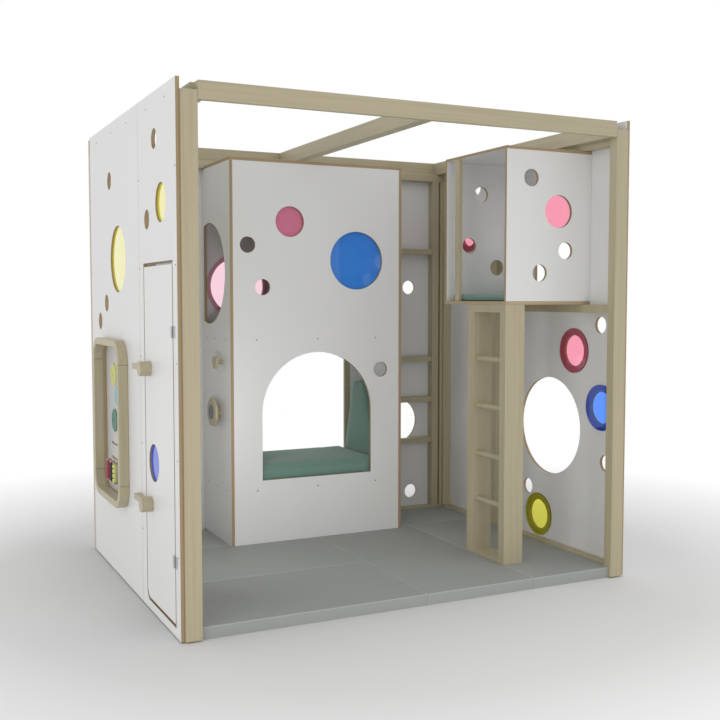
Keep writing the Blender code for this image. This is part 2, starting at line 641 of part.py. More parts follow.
def build_cabin():
    arch_hole = arch(ARCH_LEFT, ARCH_W, ARCH_BOTTOM, ARCH_RISE)
    board("cabin_front_panel", WHITE, FACE, CABIN_FRONT, CABIN_FRONT + PANEL,
          rectangle(CABIN_INNER_LEFT, CABIN_INNER_RIGHT, MAT_TOP, CABIN_WALL_TOP),
          [arch_hole, *[hole(place) for place in CABIN_HOLES], *window_holes(PINK_CABIN, BLUE_CABIN)])
    side = rectangle(CABIN_FRONT, BACK_INNER, MAT_TOP, CABIN_WALL_TOP)
    start = math.acos((SIDE_OPENING_IN - SIDE_OPENING_EDGE) / SIDE_OPENING_R)
    span = 2 * (math.pi - start)
    turns = [start + span * i / (LARGE_ROUND - 1) for i in range(LARGE_ROUND)]
    middle_y, middle_z = SIDE_OPENING
    opening = [(middle_y + SIDE_OPENING_R * math.cos(a), middle_z + SIDE_OPENING_R * math.sin(a))
               for a in turns]
    axle_hole = circle((KNOB_Y, KNOB_Z), KNOB_AXLE_R + TURN, SMALL_ROUND)
    board("cabin_left_panel", WHITE, SIDE, CABIN_LEFT, CABIN_LEFT + PANEL, side, [opening, axle_hole])
    board("cabin_right_panel", WHITE, SIDE, CABIN_RIGHT - PANEL, CABIN_RIGHT, side, [opening])
    inner = rectangle(CABIN_INNER_LEFT, CABIN_INNER_RIGHT, CABIN_INNER_FRONT, BACK_INNER)
    board("cabin_roof", WHITE, FLAT, CABIN_TOP - PANEL, CABIN_TOP,
          rectangle(CABIN_LEFT, CABIN_RIGHT, CABIN_FRONT, REAR_POST_FRONT - FIT))
    board("cabin_shelf", PLY, FLAT, SHELF_TOP - PANEL, SHELF_TOP, inner)
    board("seat_board", PLY, FLAT, SEAT_TOP - PANEL, SEAT_TOP, inner)
    face = CABIN_LEFT - FIT

    def peg(bm):
        add_turned(bm, 0, (PEG_Y, PEG_Z), face, ((PEG_STEM_R, face - PEG_STAND),
                                                 (PEG_R, face - PEG_STAND - PEG_T)))

    def knob(bm):
        hub = face - KNOB_STAND
        add_turned(bm, 0, (KNOB_Y, KNOB_Z), CABIN_LEFT + PANEL,
                   ((KNOB_AXLE_R, face), (KNOB_HUB_R, hub), (KNOB_R, hub - KNOB_T),
                    (KNOB_HUB_R, hub - KNOB_T - KNOB_CAP_T)), KNOB_ROUND)

    solids("cabin_peg", WOOD, peg, round_edges=True)
    pivot = (face, KNOB_Y, KNOB_Z)
    axle = add_empty("knob_axis", pivot, ROOT)
    solids("cabin_knob", WOOD, knob, axle, pivot, round_edges=True)


def build_loft():
    front = rectangle(LOFT_LEFT, INNER_RIGHT, LOFT_FLOOR_TOP, LOFT_WALL_TOP)
    board("loft_front_panel", WHITE, FACE, LOFT_FRONT, LOFT_FRONT + PANEL, front,
          [*[hole(place) for place in LOFT_FRONT_HOLES], *window_holes(PINK_LOFT)])
    board("loft_back_panel", WHITE, FACE, LOFT_BACK - PANEL, LOFT_BACK, front,
          [hole(place) for place in LOFT_BACK_HOLES])
    board("loft_floor", PLY, FLAT, LOFT_BOTTOM, LOFT_BOTTOM + PANEL,
          rectangle(LOFT_LEFT, INNER_RIGHT, LOFT_FRONT, LOFT_BACK))
    board("loft_roof", WHITE, FLAT, LOFT_TOP - LOFT_ROOF_T, LOFT_TOP,
          rectangle(LOFT_LEFT, INNER_RIGHT, LOFT_FRONT, LOFT_BACK))
    block("loft_batten", WOOD, (LOFT_LEFT, LOFT_LEFT + BATTEN_D),
          (BATTEN_REAR - BATTEN_W, BATTEN_REAR), (LOFT_FLOOR_TOP, LOFT_WALL_TOP))
    depth = (LOFT_LEFT, LOFT_LEFT + LADDER_DEPTH)
    outline = rectangle(LOFT_FRONT, LADDER_REAR, MAT_TOP, LADDER_TOP)
    gap = rectangle(LADDER_POST_FRONT_BACK, LADDER_POST_REAR_FRONT, MAT_TOP + PANEL,
                    LADDER_TOP - LADDER_RAIL_H)
    ladder = as_mesh(board("loft_ladder", WOOD, SIDE, *depth, outline, [gap]))

    def rungs(bm):
        ends = (LADDER_POST_FRONT_BACK - RUNG_R, LADDER_POST_REAR_FRONT + RUNG_R)
        for z in RUNG_HEIGHTS:
            add_rod(bm, 1, (LOFT_LEFT + RUNG_IN, z), RUNG_R, *ends, ROD_ROUND)

    combine(ladder, "UNION", rungs)


def window(name, look, plane, near, place, radius, lap, parent=None, pivot=(0, 0, 0)):
    """An acrylic disc lapping its hole; `near` is the lower of the disc's two faces."""
    def disc(bm):
        add_rod(bm, AXIS[plane], place, radius + lap, near, near + ACRYLIC, DISC_ROUND)

    solids(name, look, disc, parent, pivot, round_edges=True)


def build_windows():
    left = INNER_LEFT
    right = INNER_RIGHT - ACRYLIC
    cabin = CABIN_FRONT + PANEL + FIT
    back = BACK_PANEL_FRONT - FIT - ACRYLIC
    loft = LOFT_FRONT + PANEL + FIT
    window("window_left_rear_yellow", YELLOW, SIDE, left, *YELLOW_LEFT_WALL[0])
    window("window_left_front_yellow", YELLOW, SIDE, left, *YELLOW_LEFT_WALL[1])
    window("window_right_yellow", YELLOW, SIDE, right, *YELLOW_RIGHT_WALL[0])
    window("window_right_blue", BLUE, SIDE, right, *BLUE_RIGHT_WALL[0])
    window("window_right_pink", PINK, SIDE, right, *PINK_RIGHT_WALL[0])
    window("window_right_rear_pink", PINK, SIDE, right, *PINK_RIGHT_WALL[1])
    window("window_cabin_pink", PINK, FACE, cabin, *PINK_CABIN[0])
    window("window_cabin_blue", BLUE, FACE, cabin, *BLUE_CABIN[0])
    window("window_back_pink", PINK, FACE, back, *PINK_BACK[0])
    window("window_loft_pink", PINK, FACE, loft, *PINK_LOFT[0])


def hinge(middle, label, parent, pivot):
    """A butt hinge: a wall leaf that carries the pin, and a door leaf bored for it."""
    low = middle - HINGE_H / 2
    leaf_x = (-FIT - HINGE_LEAF_T, -FIT)
    reach = KNUCKLE_R + 2 * FIT

    def leaf(bm, side):
        ends = (HINGE_Y + side * reach, HINGE_Y + side * HINGE_LEAF_W)
        add_box(bm, leaf_x, (min(ends), max(ends)), (low, low + HINGE_H))

    def knuckles(bm, side, spans):
        for start, end in spans:
            z = (low + start * HINGE_H + FIT, low + end * HINGE_H - FIT)
            ends = (HINGE_Y + side * 2 * FIT, HINGE_Y + side * (reach + HINGE_LEAF_T))
            add_box(bm, (leaf_x[0] + FIT, leaf_x[1] - FIT), (min(ends), max(ends)), z)
            add_rod(bm, 2, (-HINGE_OUT, HINGE_Y), KNUCKLE_R, *z, ROD_ROUND)

    def wall_knuckles(bm):
        knuckles(bm, -1, ((0, 1 / 3), (2 / 3, 1)))
        add_rod(bm, 2, (-HINGE_OUT, HINGE_Y), HINGE_PIN_R, low + HINGE_PIN_R,
                low + HINGE_H - HINGE_PIN_R, PIN_ROUND)

    def bore(bm):
        add_rod(bm, 2, (-HINGE_OUT, HINGE_Y), HINGE_PIN_R + TURN, low - HINGE_H, low + 2 * HINGE_H,
                PIN_ROUND)

    wall = solids("wall_hinge_" + label, METAL, lambda bm: leaf(bm, -1))
    combine(wall, "UNION", wall_knuckles)
    door = solids("door_hinge_" + label, METAL, lambda bm: leaf(bm, 1), parent, pivot)
    combine(door, "UNION", lambda bm: knuckles(bm, 1, ((1 / 3, 2 / 3),)), parent, pivot)
    combine(door, "DIFFERENCE", bore, parent, pivot)


def build_door():
    pivot = (-HINGE_OUT, HINGE_Y, 0)
    axis = add_empty("door_hinge_axis", pivot, ROOT)
    outline = ([(DOOR_EDGE_FRONT, DOOR_EDGE_BOTTOM)]
               + corner((DOOR_EDGE_REAR - DOOR_CORNER, DOOR_EDGE_BOTTOM + DOOR_CORNER), DOOR_CORNER,
                        -math.pi / 2)
               + [(DOOR_EDGE_REAR, DOOR_EDGE_TOP), (DOOR_EDGE_FRONT, DOOR_EDGE_TOP)])
    bolts = [circle((LATCH_Y, z), BOLT_R + TURN, PIN_ROUND) for z in LATCH_HEIGHTS]
    board("door_panel", WHITE, SIDE, 0, PANEL, outline, [*window_holes((DOOR_WINDOW,)), *bolts],
          axis, pivot)
    window("window_door_blue", BLUE, SIDE, PANEL + FIT, *DOOR_WINDOW, axis, pivot)
    for label, z in zip(("lower", "upper"), HINGE_HEIGHTS):
        hinge(z, label, axis, pivot)
    for label, z in zip(("lower", "upper"), LATCH_HEIGHTS):
        latch("latch_" + label, z, axis, pivot)


def latch(name, z, door_axis, door_pivot):
    """A turning wooden latch: an octagonal knob with a bar, on a bolt through the door."""
    middle = (0, LATCH_Y, z)
    turn = add_empty(name + "_axis", [m - p for m, p in zip(middle, door_pivot)], door_axis)
    bpy.context.view_layer.update()
    bar_face = -FIT - LATCH_BAR_T
    turns = [math.pi / 8 + math.pi / 4 * i for i in range(8)]
    knob = [(LATCH_Y + LATCH_KNOB_R * math.cos(a), z + LATCH_KNOB_R * math.sin(a)) for a in turns]
    bar_half = LATCH_BAR_H / 2
    latch_knob = as_mesh(board(name, WOOD, SIDE, bar_face - LATCH_CAP_T, -FIT, knob, (), turn, middle))

    def bar(bm):
        add_box(bm, (bar_face, -2 * FIT), (LATCH_Y, LATCH_REACH), (z - bar_half + FIT, z + bar_half - FIT))

    def bolt(bm):
        inside = PANEL + FIT
        add_turned(bm, 0, (LATCH_Y, z), bar_face,
                   ((BOLT_R, inside), (BOLT_HEAD_R, inside + BOLT_HEAD_T)), PIN_ROUND)

    combine(latch_knob, "UNION", bar, turn, middle)
    combine(latch_knob, "UNION", bolt, turn, middle)


def slot_outline(middle):
    """A level slot with round ends about the ends of its travel."""
    half = SLOT_TRAVEL / 2
    radius = SLOT_W / 2
    return rounded(middle[0] - half - radius, middle[0] + half + radius, middle[1] - radius,
                   middle[1] + radius, radius)


def build_busy_board():
    outer = rounded(BOARD_FRONT, BOARD_REAR, BOARD_BOTTOM, BOARD_TOP, BOARD_CORNER)
    rim = BOARD_RIM
    inner = rounded(BOARD_FRONT + rim, BOARD_REAR - rim, BOARD_BOTTOM + rim, BOARD_TOP - rim,
                    BOARD_CORNER - rim)
    board("busy_board_frame", WOOD, SIDE, -FIT - BOARD_PROUD, -FIT, outer, [inner])
    lap = rim - PLATE_LAP
    plate = rounded(BOARD_FRONT + lap, BOARD_REAR - lap, BOARD_BOTTOM + lap, BOARD_TOP - lap,
                    BOARD_CORNER - lap)
    pins = [circle(place, PIN_R + TURN, PIN_ROUND) for place in SPINNERS.values()]
    slots = [slot_outline(place) for place in SLOTS]
    back = PLATE_FACE + PLATE_T
    face = PLATE_FACE - FIT
    plate = as_mesh(board("busy_board_plate", WHITE, SIDE, PLATE_FACE, back, plate, [*pins, *slots]))
    bead_x = face - BEAD_STAND - BEAD_R
    bead_y, low = BEAD_PLACE
    high = low + BEAD_COUNT * BEAD_H + (BEAD_COUNT - 1) * BEAD_NECK_H
    ends = (low - FIT - BRACKET_T, high + FIT + BRACKET_T)

    def brackets(bm):
        for z in ((ends[0], low - FIT), (high + FIT, ends[1])):
            add_box(bm, (bead_x - BRACKET_W / 2, back - PLATE_T / 2),
                    (bead_y - BRACKET_W / 2, bead_y + BRACKET_W / 2), z)

    def bore(bm):
        add_rod(bm, 2, (bead_x, bead_y), BEAD_AXLE_R + TURN, ends[0] - BRACKET_T, ends[1] + BRACKET_T,
                PIN_ROUND)

    def beads(bm):
        steps = [(BEAD_AXLE_R, low)]
        for i in range(BEAD_COUNT):
            top = low + (i + 1) * BEAD_H + i * BEAD_NECK_H
            steps += [(BEAD_R, top), (BEAD_NECK_R, top + BEAD_NECK_H)]
        steps[-1] = (BEAD_AXLE_R, ends[1])
        add_turned(bm, 2, (bead_x, bead_y), ends[0], steps, ROD_ROUND)

    combine(plate, "UNION", brackets)
    combine(plate, "DIFFERENCE", bore)
    pivot = (bead_x, bead_y, low)
    axis = add_empty("beads_axis", pivot, ROOT)
    solids("busy_board_beads", RED, beads, axis, pivot, round_edges=True)
    looks = {"spinner_yellow": YELLOW, "spinner_cyan": CYAN, "spinner_green": GREEN}
    for name, place in SPINNERS.items():
        button(name, looks[name], place, SPINNER_R, SPINNER_T, PIN_R, DISC_ROUND)
    slider = (SLOTS[0][0] - SLOT_TRAVEL / 2, SLOTS[0][1])
    button("busy_board_slider", LIME, slider, SLIDER_R, SLIDER_T, SLOT_W / 2 - TURN, ROD_ROUND)


def button(name, look, place, radius, thickness, stem, count):
    """A round piece on the plate's face, held by a stem through the plate and a washer behind it."""
    face = PLATE_FACE - FIT
    back = PLATE_FACE + PLATE_T + FIT
    pivot = (face, *place)
    axis = add_empty(name + "_axis", pivot, ROOT)

    def fill(bm):
        add_turned(bm, 0, place, face - thickness,
                   ((radius, face), (stem, back), (stem + WASHER_LAP, back + WASHER_T)), count)

    solids(name, look, fill, axis, pivot, round_edges=True)


def build_mats():
    left = INNER_LEFT + RAIL_D + FIT
    rear = REAR_POST_FRONT - FIT
    post = POST_BACK + FIT
    half = [(POST_LEFT_IN + FIT, MAT_FRONT), (POST_LEFT_IN + FIT, post), (left, post), (left, rear)]
    outline = half + [(WIDTH - x, y) for x, y in reversed(half)]
    board("floor_mats", FOAM, FLAT, 0, MAT_T, outline)


def cushion(name, x, y, z, crown, taper=None):
    """A box cushion: a cage with crowned faces and drawn-in sides, smoothed by subdivision."""
    middle = Vector((sum(x) / 2, sum(y) / 2, sum(z) / 2))
    half = Vector(((x[1] - x[0]) / 2, (y[1] - y[0]) / 2, (z[1] - z[0]) / 2))
    bm = bmesh.new()
    bmesh.ops.create_cube(bm, size=2)
    for axis in range(3):
        edge = min(CUSHION_EDGE, half[axis] * CUSHION_EDGE_SHARE) / half[axis]
        for place in (edge - 1, 1 - edge):
            normal = Vector((0, 0, 0))
            normal[axis] = 1
            bmesh.ops.bisect_plane(bm, geom=bm.verts[:] + bm.edges[:] + bm.faces[:],
                                   plane_co=normal * place, plane_no=normal)
    for vert in bm.verts:
        u, v, w = vert.co
        vert.co = Vector((u * half.x, v * half.y, w * half.z))
        if w > CAGE_FACE:
            bulge = max(0, 1 - u * u) * max(0, 1 - v * v)
            vert.co.z += crown * (bulge - CUSHION_EDGE_DROP)
        if abs(u) > CAGE_FACE:
            vert.co.x -= math.copysign(crown * CUSHION_PULL * (1 - w * w), u)
        if taper:
            taper(vert, half, w)
    data = bpy.data.meshes.new(name)
    bmesh.ops.translate(bm, vec=middle, verts=bm.verts)
    bm.to_mesh(data)
    bm.free()
    data.shade_smooth()
    made = place_object(name, data, FABRIC)
    smooth = made.modifiers.new("soft", "SUBSURF")
    smooth.levels = 2
    smooth.render_levels = 2
    return made


def arched(vert, half, w):
    """Draw the backrest's upper part in towards its top, as a half-round arch seen from inside."""
    if w > ARCH_FROM:
        rise = (w - ARCH_FROM) / (1 - ARCH_FROM)
        vert.co.y *= math.sqrt(1 - ARCH_DRAW * rise ** ARCH_POWER)


def build_cushions():
    rest_face = CABIN_INNER_RIGHT - CUSHION_CLEAR - BACKREST_T
    base = SEAT_TOP + FIT
    cushion("seat_cushion", (CABIN_INNER_LEFT + CUSHION_CLEAR, rest_face - CUSHION_CLEAR),
            (CABIN_INNER_FRONT + CUSHION_CLEAR, BACK_INNER - CUSHION_CLEAR), (base, base + SEAT_CUSHION_H),
            SEAT_CUSHION_CROWN)
    cushion("backrest_cushion", (rest_face, rest_face + BACKREST_T),
            (CABIN_INNER_FRONT + BACKREST_GAP, BACK_INNER - BACKREST_GAP), (base, BACKREST_TOP),
            BACKREST_CROWN, arched)
    floor = LOFT_FLOOR_TOP
    cushion("loft_cushion", (LOFT_LEFT + BATTEN_D + CUSHION_CLEAR, INNER_RIGHT - CUSHION_CLEAR),
            (LOFT_INNER_FRONT + LOFT_CUSHION_GAP, LOFT_INNER_BACK - LOFT_CUSHION_GAP),
            (floor, floor + LOFT_CUSHION_H), LOFT_CUSHION_CROWN)


clear_scene()
PARTS = new_collection("indoor_playhouse")
CUTTERS = new_collection("cutters")
ROOT = add_empty("playhouse", (-WIDTH / 2, -(WALL_BACK - POST_PROUD) / 2, 0))
bpy.context.view_layer.update()
build_posts_and_beams()
build_left_wall()
build_right_wall()
build_back_wall()
build_cabin()
build_loft()
build_windows()
build_door()
build_busy_board()
build_mats()
build_cushions()
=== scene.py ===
import json
import math

import bmesh
import bpy
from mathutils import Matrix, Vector
from mathutils.bvhtree import BVHTree

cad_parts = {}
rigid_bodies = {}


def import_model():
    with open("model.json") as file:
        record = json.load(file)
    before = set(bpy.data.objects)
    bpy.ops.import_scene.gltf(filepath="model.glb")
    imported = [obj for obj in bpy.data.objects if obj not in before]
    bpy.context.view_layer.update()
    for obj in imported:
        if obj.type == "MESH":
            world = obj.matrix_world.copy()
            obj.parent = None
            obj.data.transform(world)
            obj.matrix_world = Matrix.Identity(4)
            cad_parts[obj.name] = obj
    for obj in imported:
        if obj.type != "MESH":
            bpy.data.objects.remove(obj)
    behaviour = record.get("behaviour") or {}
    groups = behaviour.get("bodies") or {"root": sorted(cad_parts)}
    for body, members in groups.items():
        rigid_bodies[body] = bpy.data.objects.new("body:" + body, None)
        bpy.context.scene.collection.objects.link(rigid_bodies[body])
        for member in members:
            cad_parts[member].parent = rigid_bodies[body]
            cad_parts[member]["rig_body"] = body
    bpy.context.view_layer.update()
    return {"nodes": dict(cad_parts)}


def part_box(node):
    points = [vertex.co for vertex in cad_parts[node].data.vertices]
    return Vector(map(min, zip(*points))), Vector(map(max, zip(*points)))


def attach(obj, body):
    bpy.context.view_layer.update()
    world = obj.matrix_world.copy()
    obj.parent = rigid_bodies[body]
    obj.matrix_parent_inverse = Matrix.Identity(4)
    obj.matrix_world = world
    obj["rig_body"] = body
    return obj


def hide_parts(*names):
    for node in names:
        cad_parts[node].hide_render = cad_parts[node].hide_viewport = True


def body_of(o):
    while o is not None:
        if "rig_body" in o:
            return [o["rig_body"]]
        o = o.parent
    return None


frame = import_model()
BODY = "playhouse_frame"
# Front left corner of the left wall, where the source measures from
CORNER = Vector((-1.2075, -0.9145, 0))
PANEL = 0.018           # thickness of the boards
ROUND = 32              # segments of turned pieces
SHARP_ANGLE = 20        # degrees: curved faces of many segments stay smooth, flat faces stay flat

# Camera at the photograph's viewing angle
CAMERA_AT = (-2.3645, -5.0285, 1.477)
CAMERA_YAW = math.radians(-26.04)
CAMERA_PITCH = math.radians(86.50)
CAMERA_LENS = 50.0

# Linear colours
TIMBER = (0.490, 0.432, 0.290)
TIMBER_DARK = (0.415, 0.360, 0.232)
PLY_FACE = (0.470, 0.365, 0.225)
PLY_EDGE = (0.330, 0.230, 0.125)
LAMINATE = (0.790, 0.790, 0.785)
METAL_DARK = (0.50, 0.51, 0.52)
METAL_LIGHT = (0.62, 0.63, 0.64)

# Textures, in metres or in cells per metre
STREAKS_ACROSS = 60.0
STREAKS_ALONG = 1.6
TONES_ACROSS = 9.0
TONES_ALONG = 0.5
BROAD_FACE = 0.7        # a face is broad where its normal lies this much along the board's thickness
PLY_PAIR = PANEL / 4
MAT_RIB = 0.004
THREAD = 0.0016


def srgb(red, green, blue):
    """Linear colour of three display values between 11 and 255."""
    return tuple(((value / 255 + 0.055) / 1.055) ** 2.4 for value in (red, green, blue))


def darker(colour, share):
    return tuple(value * share for value in colour)


# Materials

def new_material(name):
    """A material with its nodes, its links, its shader and the coordinates of the object itself."""
    made = bpy.data.materials.new(name)
    made.use_nodes = True
    nodes = made.node_tree.nodes
    coords = nodes.new("ShaderNodeTexCoord").outputs["Object"]
    return made, nodes, made.node_tree.links, nodes["Principled BSDF"], coords


def math_node(nodes, links, operation, first, second=None):
    made = nodes.new("ShaderNodeMath")
    made.operation = operation
    for socket, value in zip(made.inputs, (first, second)):
        if isinstance(value, (int, float)):
            socket.default_value = value
        elif value is not None:
            links.new(value, socket)
    return made.outputs[0]


def weighted(nodes, links, first, first_share, second, second_share):
    """Sum of two values, each times its share."""
    return math_node(nodes, links, "ADD", math_node(nodes, links, "MULTIPLY", first, first_share),
                     math_node(nodes, links, "MULTIPLY", second, second_share))


def separate(nodes, links, vector):
    made = nodes.new("ShaderNodeSeparateXYZ")
    links.new(vector, made.inputs[0])
    return made.outputs


def waves(nodes, links, place, length):
    """Sine of a coordinate, with one wave in each length."""
    return math_node(nodes, links, "SINE", math_node(nodes, links, "MULTIPLY", place, 2 * math.pi / length))


def mix_colour(nodes, links, factor, first, second):
    """The first colour where the factor is 0, the second where it is 1; each is a tuple or a socket."""
    made = nodes.new("ShaderNodeMix")
    made.data_type = "RGBA"
    for index, value in ((0, factor), (6, first), (7, second)):
        if isinstance(value, tuple):
            made.inputs[index].default_value = (*value, 1)
        else:
            links.new(value, made.inputs[index])
    return made.outputs[2]


def mix_some(nodes, links, factor, share, first, second):
    """As mix_colour, with no more of the second colour than the share."""
    return mix_colour(nodes, links, math_node(nodes, links, "MULTIPLY", factor, share), first, second)


def noise(nodes, links, coords, scale, detail=2.0, stretch=(1, 1, 1)):
    place = nodes.new("ShaderNodeMapping")
    place.inputs["Scale"].default_value = stretch
    links.new(coords, place.inputs["Vector"])
    made = nodes.new("ShaderNodeTexNoise")
    made.inputs["Scale"].default_value = scale
    made.inputs["Detail"].default_value = detail
    links.new(place.outputs["Vector"], made.inputs["Vector"])
    return made.outputs["Fac"]


def ramp(nodes, links, value, low, high):
    made = nodes.new("ShaderNodeMapRange")
    made.inputs["From Min"].default_value = low
    made.inputs["From Max"].default_value = high
    links.new(value, made.inputs["Value"])
    return made.outputs["Result"]


def bump(nodes, links, shader, height, distance, strength=0.4):
    made = nodes.new("ShaderNodeBump")
    made.inputs["Strength"].default_value = strength
    made.inputs["Distance"].default_value = distance
    links.new(height, made.inputs["Height"])
    links.new(made.outputs["Normal"], shader.inputs["Normal"])


def wood_colour(nodes, links, coords, axis, light, dark):
    """Colour and grain: fine streaks along an axis, with slow changes of tone from board to board."""
    streaks = [STREAKS_ACROSS] * 3
    streaks[axis] = STREAKS_ALONG
    grain = noise(nodes, links, coords, 1.0, 4.0, streaks)
    tones = [TONES_ACROSS] * 3
    tones[axis] = TONES_ALONG
    tone = noise(nodes, links, coords, 1.0, stretch=tones)
    streak = ramp(nodes, links, grain, 0.42, 0.72)
    cloud = ramp(nodes, links, tone, 0.35, 0.75)
    return mix_colour(nodes, links, weighted(nodes, links, streak, 0.55, cloud, 0.35), light, dark), grain


def timber(name, axis, light=TIMBER, dark=TIMBER_DARK, roughness=0.46):
    """Thinly varnished wood with its grain along an axis."""
    made, nodes, links, shader, coords = new_material(name)
    colour, grain = wood_colour(nodes, links, coords, axis, light, dark)
    links.new(colour, shader.inputs["Base Color"])
    shader.inputs["Roughness"].default_value = roughness
    shader.inputs["Coat Weight"].default_value = 0.12
    shader.inputs["Coat Roughness"].default_value = 0.3
    bump(nodes, links, shader, grain, 0.0004)
    return made


def laminate(name, axis, colour=LAMINATE):
    """White laminate on a board's broad faces, and the plies of bare plywood on its edges."""
    made, nodes, links, shader, coords = new_material(name)
    normal = separate(nodes, links, coords.node.outputs["Normal"])
    facing = math_node(nodes, links, "ABSOLUTE", normal[axis])
    broad = math_node(nodes, links, "GREATER_THAN", facing, BROAD_FACE)
    place = separate(nodes, links, coords)
    plies = ramp(nodes, links, waves(nodes, links, place[axis], PLY_PAIR), -0.6, 0.6)
    fibres = noise(nodes, links, coords, 90.0, 3.0)
    ply = mix_colour(nodes, links, plies, PLY_FACE, PLY_EDGE)
    ply = mix_some(nodes, links, fibres, 0.5, ply, PLY_EDGE)
    cloud = noise(nodes, links, coords, 1.3)
    white = mix_some(nodes, links, cloud, 0.10, colour, darker(colour, 0.86))
    links.new(mix_colour(nodes, links, broad, ply, white), shader.inputs["Base Color"])
    # The broad faces are smoother than the edges, with a fine unevenness on both
    fine =noise(nodes, links, coords, 240.0)
    roughness = math_node(nodes, links, "ADD", weighted(nodes, links, fine, 0.10, broad, -0.26), 0.58)
    links.new(roughness, shader.inputs["Roughness"])
    bump(nodes, links, shader, fine, 0.00015, 0.15)
    return made


def acrylic(name, colour, cover, clear, coat=0.0):
    """Tinted sheet.

    `cover` is how much of what lies behind is covered, `clear` how much of the cover lets light on through
    it tinted, and `coat` the weight of the gloss over it.
    """
    made, nodes, links, shader, coords = new_material(name)
    haze = noise(nodes, links, coords, 14.0)
    tint = mix_some(nodes, links, haze, 0.10, colour, darker(colour, 0.85))
    links.new(tint, shader.inputs["Base Color"])
    shader.inputs["Alpha"].default_value = cover
    shader.inputs["Transmission Weight"].default_value = clear
    shader.inputs["Roughness"].default_value = 0.04
    shader.inputs["IOR"].default_value = 1.49
    shader.inputs["Coat Weight"].default_value = coat
    shader.inputs["Coat Roughness"].default_value = 0.03
    return made


def metal(name):
    """Satin metal brushed along its height."""
    made, nodes, links, shader, coords = new_material(name)
    brush = noise(nodes, links, coords, 1.0, stretch=(900, 900, 40))
    links.new(mix_colour(nodes, links, brush, METAL_DARK, METAL_LIGHT), shader.inputs["Base Color"])
    shader.inputs["Metallic"].default_value = 0.9
    shader.inputs["Roughness"].default_value = 0.38
    bump(nodes, links, shader, brush, 0.0001, 0.2)
    return made


def plastic(name, colour, roughness=0.35):
    """Moulded plastic with a fine grain."""
    made, nodes, links, shader, coords = new_material(name)
    grain = noise(nodes, links, coords, 500.0)
    tone = mix_some(nodes, links, grain, 0.2, colour, darker(colour, 0.75))
    links.new(tone, shader.inputs["Base Color"])
    shader.inputs["Roughness"].default_value = roughness
    bump(nodes, links, shader, grain, 0.0001, 0.2)
    return made


def foam(name, light, dark):
    """Mat foam: fine ribs along the depth of the floor, and a fine speckle."""
    made, nodes, links, shader, coords = new_material(name)
    ribs = ramp(nodes, links, waves(nodes, links, separate(nodes, links, coords)[0], MAT_RIB), -1, 1)
    speckle = noise(nodes, links, coords, 260.0, 3.0)
    cloud = noise(nodes, links, coords, 3.0)
    colour = mix_colour(nodes, links, weighted(nodes, links, speckle, 0.5, ribs, 0.3), light, dark)
    colour = mix_some(nodes, links, cloud, 0.25, colour, dark)
    links.new(colour, shader.inputs["Base Color"])
    shader.inputs["Roughness"].default_value = 0.72
    bump(nodes, links, shader, math_node(nodes, links, "ADD", ribs, speckle), 0.0006, 0.35)
    return made


def fabric(name, light, dark):
    """Plain weave of fine crossed threads, with a soft sheen."""
    made, nodes, links, shader, coords = new_material(name)
    place = separate(nodes, links, coords)
    threads = [waves(nodes, links, place[i], THREAD) for i in range(3)]
    crossed = math_node(nodes, links, "ADD", threads[1], threads[2])
    weave = ramp(nodes, links, math_node(nodes, links, "ADD", threads[0], crossed), -2, 2)
    slub = noise(nodes, links, coords, 320.0, 3.0)
    cloud = noise(nodes, links, coords, 6.0)
    colour = mix_colour(nodes, links, weighted(nodes, links, weave, 0.45, slub, 0.4), light, dark)
    colour = mix_some(nodes, links, cloud, 0.2, colour, dark)
    links.new(colour, shader.inputs["Base Color"])
    shader.inputs["Roughness"].default_value = 0.88
    shader.inputs["Sheen Weight"].default_value = 0.25
    shader.inputs["Sheen Roughness"].default_value = 0.5
    bump(nodes, links, shader, math_node(nodes, links, "ADD", weave, slub), 0.0005, 0.5)
    return made


WOOD_X, WOOD_Y, WOOD_Z = (timber("timber_" + axis, i) for i, axis in enumerate("xyz"))
BOARD_X, BOARD_Y, BOARD_Z = (laminate("laminate_" + axis, i) for i, axis in enumerate("xyz"))
# Painted shade: the busy board's plate sits back in its frame, so its laminate is painted 0.78 as light as
# the walls'
PLATE_PAINTED_SHADE = laminate("laminate_plate_painted_shade", 0, darker(LAMINATE, 0.78))
PLY_FLAT = timber("plywood_face", 0, PLY_FACE, darker(PLY_FACE, 0.82), 0.5)
PINK = acrylic("pink_acrylic", (1.0, 0.27, 0.46), 0.58, 0.10)
PINK_CLEAR = acrylic("pink_acrylic_clear", (1.0, 0.10, 0.30), 0.27, 0.90)
PINK_DEEP = acrylic("pink_acrylic_deep", (1.0, 0.35, 0.48), 1.0, 1.0)
BLUE = acrylic("blue_acrylic", (0.05, 0.31, 1.0), 0.80, 0.10)
BLUE_CLEAR = acrylic("blue_acrylic_clear", (0.05, 0.13, 0.80), 0.97, 0.05)
BLUE_DEEP = acrylic("blue_acrylic_deep", (0.08, 0.28, 1.0), 1.0, 1.0)
YELLOW = acrylic("yellow_acrylic", (1.0, 0.93, 0.03), 1.0, 0.04, 1.0)
YELLOW_DEEP = acrylic("yellow_acrylic_deep", (1.0, 0.97, 0.14), 1.0, 1.0)
METAL = metal("satin_metal")
FOAM = foam("mat_foam", (0.390, 0.405, 0.390), (0.307, 0.320, 0.307))
